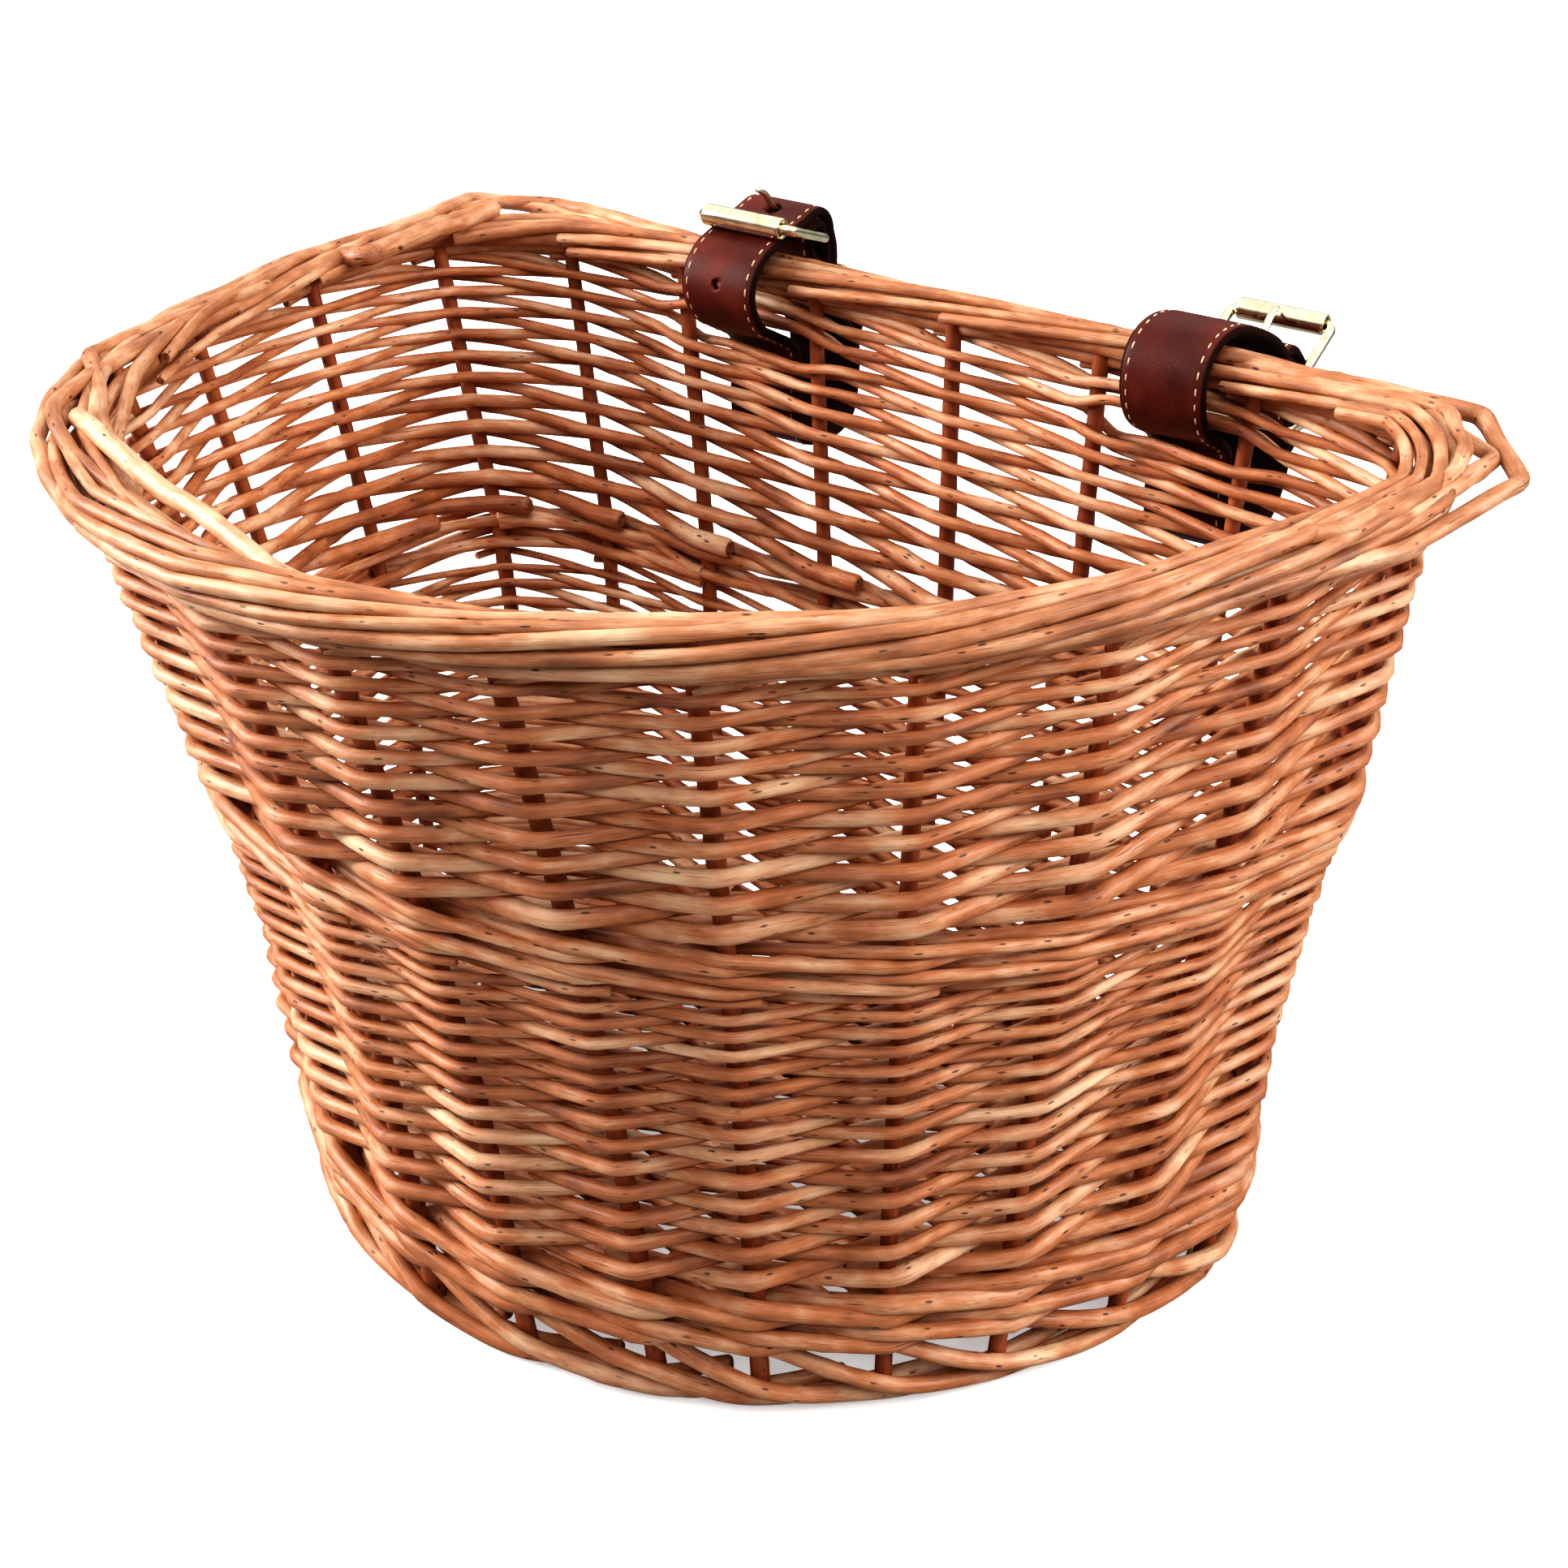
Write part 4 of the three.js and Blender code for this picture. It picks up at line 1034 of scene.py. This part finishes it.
def buckle(side):
    S = SIDES[side]
    x, h = S["x"], S["hinge"]
    t = math.radians(S["frame"])
    di = np.array([0, math.cos(t), math.sin(t)])
    up = np.array([0, -di[2], di[1]])
    c = at(x, h) + di * FRAME_L / 2
    V, F = wire_loop(rounded_loop(c, [1, 0, 0], di, FRAME_HALF, FRAME_L / 2, 2.6), WIRE_R, up, 18)
    o = simple_mesh(side + "_buckle_wire", V, F, [M_METAL])
    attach(o, side + "_frame")
    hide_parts(f"buckle_frame_{side}")
    # roller: rolled sheet tube, with rounded lips and the seam of its join
    rc = at(x, polar(h, FRAME_L, S["frame"]))
    th = 2 * np.pi * np.arange(40) / 40
    prof = [(-ROLLER_HALF + .35, 2.1), (-ROLLER_HALF, 2.35), (-ROLLER_HALF, 2.75), (-ROLLER_HALF + .35, 3.07),
            (-ROLLER_HALF + 1.0, ROLLER_R), (0, ROLLER_R), (ROLLER_HALF - 1.0, ROLLER_R), (ROLLER_HALF - .35, 3.07),
            (ROLLER_HALF, 2.75), (ROLLER_HALF, 2.35), (ROLLER_HALF - .35, 2.1)]
    loops = []
    for a in th:
        seam = 0.16 * math.exp(-((a - math.pi * 1.4) / 0.05) ** 2)
        loops.append(np.array([[rc[0] + px, rc[1] + (pr - seam * (pr > 2.6)) * math.cos(a), rc[2] + (pr - seam * (pr > 2.6)) * math.sin(a)] for px, pr in prof]))
    V, F = sweep(loops, True)
    o = simple_mesh(side + "_buckle_roller_tube", V, F, [M_METAL])
    sharp_by_angle(o)
    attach(o, side + "_roller")
    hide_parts(f"buckle_roller_{side}")
    # prong: a wire bent round the bar, drawn out to a curled tip
    a0 = S["prong"]
    pts, rad = [], []
    for k in range(0, 27):
        ang = a0 - 90 * S["curl"] - S["curl"] * (26 - k) * 10.0
        pts.append(polar(h, EYE_R, ang))
        rad.append(PRONG_R * (.72 + .28 * min(k / 6, 1)))
    side_v = np.array([math.cos(math.radians(a0 + 90)), math.sin(math.radians(a0 + 90))])
    tip = [(EYE_R + 1.6, -EYE_R * .72 * S["curl"], 1.12), (6.5, -1.1 * S["curl"], 1.15), (9.5, -.15 * S["curl"], 1.15), (13, 0, 1.12), (16.2, .14 * S["curl"] * 3, 1.0),
           (18.6, .5 * S["curl"] * 3, 0.8), (19.9, .85 * S["curl"] * 3, 0.5)]
    for r, b_, rr in tip:
        pts.append(polar(h, r, a0) + side_v * b_)
        rad.append(rr)
    pts = np.array(pts)
    s = np.r_[0, np.cumsum(np.linalg.norm(np.diff(pts, axis=0), axis=1))]
    u = np.linspace(0, s[-1], 90)
    fp = fine_path(pts, 0.4)
    s2 = np.r_[0, np.cumsum(np.linalg.norm(np.diff(fp, axis=0), axis=1))]
    rr = np.interp(s2 / s2[-1] * s[-1], s, rad)
    P = np.column_stack([np.full(len(fp), x + SHIFT[0]), fp[:, 0] + SHIFT[1], fp[:, 1]])
    T = Tubes()
    T.add(P, rr, np.random.default_rng(5), sides=12, oval=0.0)
    o = T.make(side + "_buckle_prong_wire", [M_METAL, M_METAL])
    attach(o, side + "_prong")
    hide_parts(f"buckle_prong_{side}")
    # keeper: two turns of thin wire round the layers
    kz, inner, outer = S["keeper"]
    parts_v, parts_f, base_n = [], [], 0
    for dz in (-.72, .72):
        cc = at(x, [(inner + outer) / 2, kz + dz])
        V, F = wire_loop(rounded_loop(cc, [1, 0, 0], [0, 1, 0], STRAP_W / 2 + 1.6, (outer - inner) / 2, 1.8), .74, [0, 0, 1], 10)
        parts_v.append(V)
        parts_f += [[i + base_n for i in f] for f in F]
        base_n += len(V)
    o = simple_mesh(side + "_keeper_wire", np.vstack(parts_v), parts_f, [M_METAL])
    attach(o, side + "_keeper")
    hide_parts(f"keeper_{side}")


def sharp_by_angle(o, deg=40):
    o.data.set_sharp_from_angle(angle=math.radians(deg))


for _side in SIDES:
    strap(_side)
    buckle(_side)

# ---------------------------------------------------------------------------
# Stage: pale floor, soft light, camera
# ---------------------------------------------------------------------------
floor_mesh = bpy.data.meshes.new("floor")
floor_mesh.from_pydata([(-6, -6, -0.0005), (6, -6, -0.0005), (6, 6, -0.0005), (-6, 6, -0.0005)], [], [(0, 1, 2, 3)])
floor = bpy.data.objects.new("floor", floor_mesh)
bpy.context.scene.collection.objects.link(floor)
fm, fnt, fb = new_material("floor_paint")
fb.inputs["Base Color"].default_value = (0.93, 0.93, 0.93, 1)
fb.inputs["Roughness"].default_value = 0.9
# the sweep of pale paper stays evenly bright away from the basket
_fc = node(fnt, "ShaderNodeTexCoord").outputs["Object"]
_fl = node(fnt, "ShaderNodeVectorMath", operation="LENGTH")
fnt.links.new(_fc, _fl.inputs[0])
_lp = node(fnt, "ShaderNodeLightPath")
_glow = math_node(fnt, "MULTIPLY", ramp(fnt, math_node(fnt, "MULTIPLY", _fl.outputs["Value"], 0.5), [(0.10, 0.30), (0.5, 0.95)], "EASE"), _lp.outputs["Is Camera Ray"])
_fcol = mix_colour(fnt, _lp.outputs["Is Camera Ray"], (0.30, 0.29, 0.28, 1), (0.93, 0.93, 0.93, 1))
fnt.links.new(_fcol, fb.inputs["Base Color"])
fb.inputs["Emission Color"].default_value = (1, 1, 1, 1)
fnt.links.new(_glow, fb.inputs["Emission Strength"])
floor_mesh.materials.append(fm)

world = bpy.data.worlds.new("studio")
bpy.context.scene.world = world
world.use_nodes = True
bg = world.node_tree.nodes["Background"]
bg.inputs[0].default_value = (1.0, 0.985, 0.965, 1)
_wt = world.node_tree
_wl = node(_wt, "ShaderNodeLightPath")
_wc = node(_wt, "ShaderNodeTexCoord").outputs["Generated"]
_wz = node(_wt, "ShaderNodeSeparateXYZ")
_wt.links.new(_wc, _wz.inputs[0])
_tent = ramp(_wt, _wz.outputs["Z"], [(0.06, 0.18), (0.22, 0.30), (0.38, 1.0)])
_wm = node(_wt, "ShaderNodeMix", data_type="FLOAT")
_wt.links.new(_wl.outputs["Is Glossy Ray"], _wm.inputs[0])
_wm.inputs[2].default_value = 0.20
_wt.links.new(_tent, _wm.inputs[3])
_wk = node(_wt, "ShaderNodeMix", data_type="FLOAT")
_wt.links.new(_wl.outputs["Is Camera Ray"], _wk.inputs[0])
_wt.links.new(_wm.outputs[0], _wk.inputs[2])
_wk.inputs[3].default_value = 1.0
_wt.links.new(_wk.outputs[0], bg.inputs[1])


def area(name, loc, target, size, power, colour=(1, 1, 1)):
    l = bpy.data.lights.new(name, "AREA")
    l.shape = "DISK"
    l.size = size
    l.energy = power
    l.color = colour
    o = bpy.data.objects.new(name, l)
    bpy.context.scene.collection.objects.link(o)
    from mathutils import Vector
    v = Vector(target) - Vector(loc)
    o.rotation_euler = v.to_track_quat("-Z", "Y").to_euler()
    o.location = loc
    return o


area("left_softbox", (-1.5, -0.75, 0.85), (0, 0, 0.12), 1.0, 42, (1, 0.985, 0.97))
area("right_softbox", (1.4, 0.5, 0.9), (0, 0, 0.12), 0.9, 20, (1, 0.985, 0.97))
area("front_fill", (0.75, -1.25, 1.45), (0, 0, 0.12), 0.7, 9, (1, 0.99, 0.98))
area("top", (0.1, -0.2, 1.9), (0, 0, 0.1), 0.8, 9)

cam_data = bpy.data.cameras.new("camera")
cam_data.sensor_width = 36.0
cam_data.lens = 63.16
cam = bpy.data.objects.new("camera", cam_data)
bpy.context.scene.collection.objects.link(cam)
bpy.context.scene.camera = cam
from mathutils import Matrix, Vector
_az, _el, _roll, _dist = math.radians(34.36), math.radians(26.728), math.radians(1.085), 0.6799
_back = Vector((math.sin(_az) * math.cos(_el), -math.cos(_az) * math.cos(_el), math.sin(_el)))
_right = (-_back).cross(Vector((0, 0, 1))).normalized()
_up = _right.cross(-_back)
_r2 = _right * math.cos(_roll) + _up * math.sin(_roll)
_u2 = -_right * math.sin(_roll) + _up * math.cos(_roll)
_target = Vector((0.04144, -0.0280, 0.15466))
_m = Matrix((_r2, _u2, _back)).transposed().to_4x4()
_m.translation = _target + _back * _dist
cam.matrix_world = _m
cam_data.clip_start, cam_data.clip_end = 0.01, 50

sc = bpy.context.scene
sc.view_settings.view_transform = "Standard"
sc.view_settings.look = "High Contrast"
sc.view_settings.exposure = 0.0
sc.view_settings.gamma = 1.0
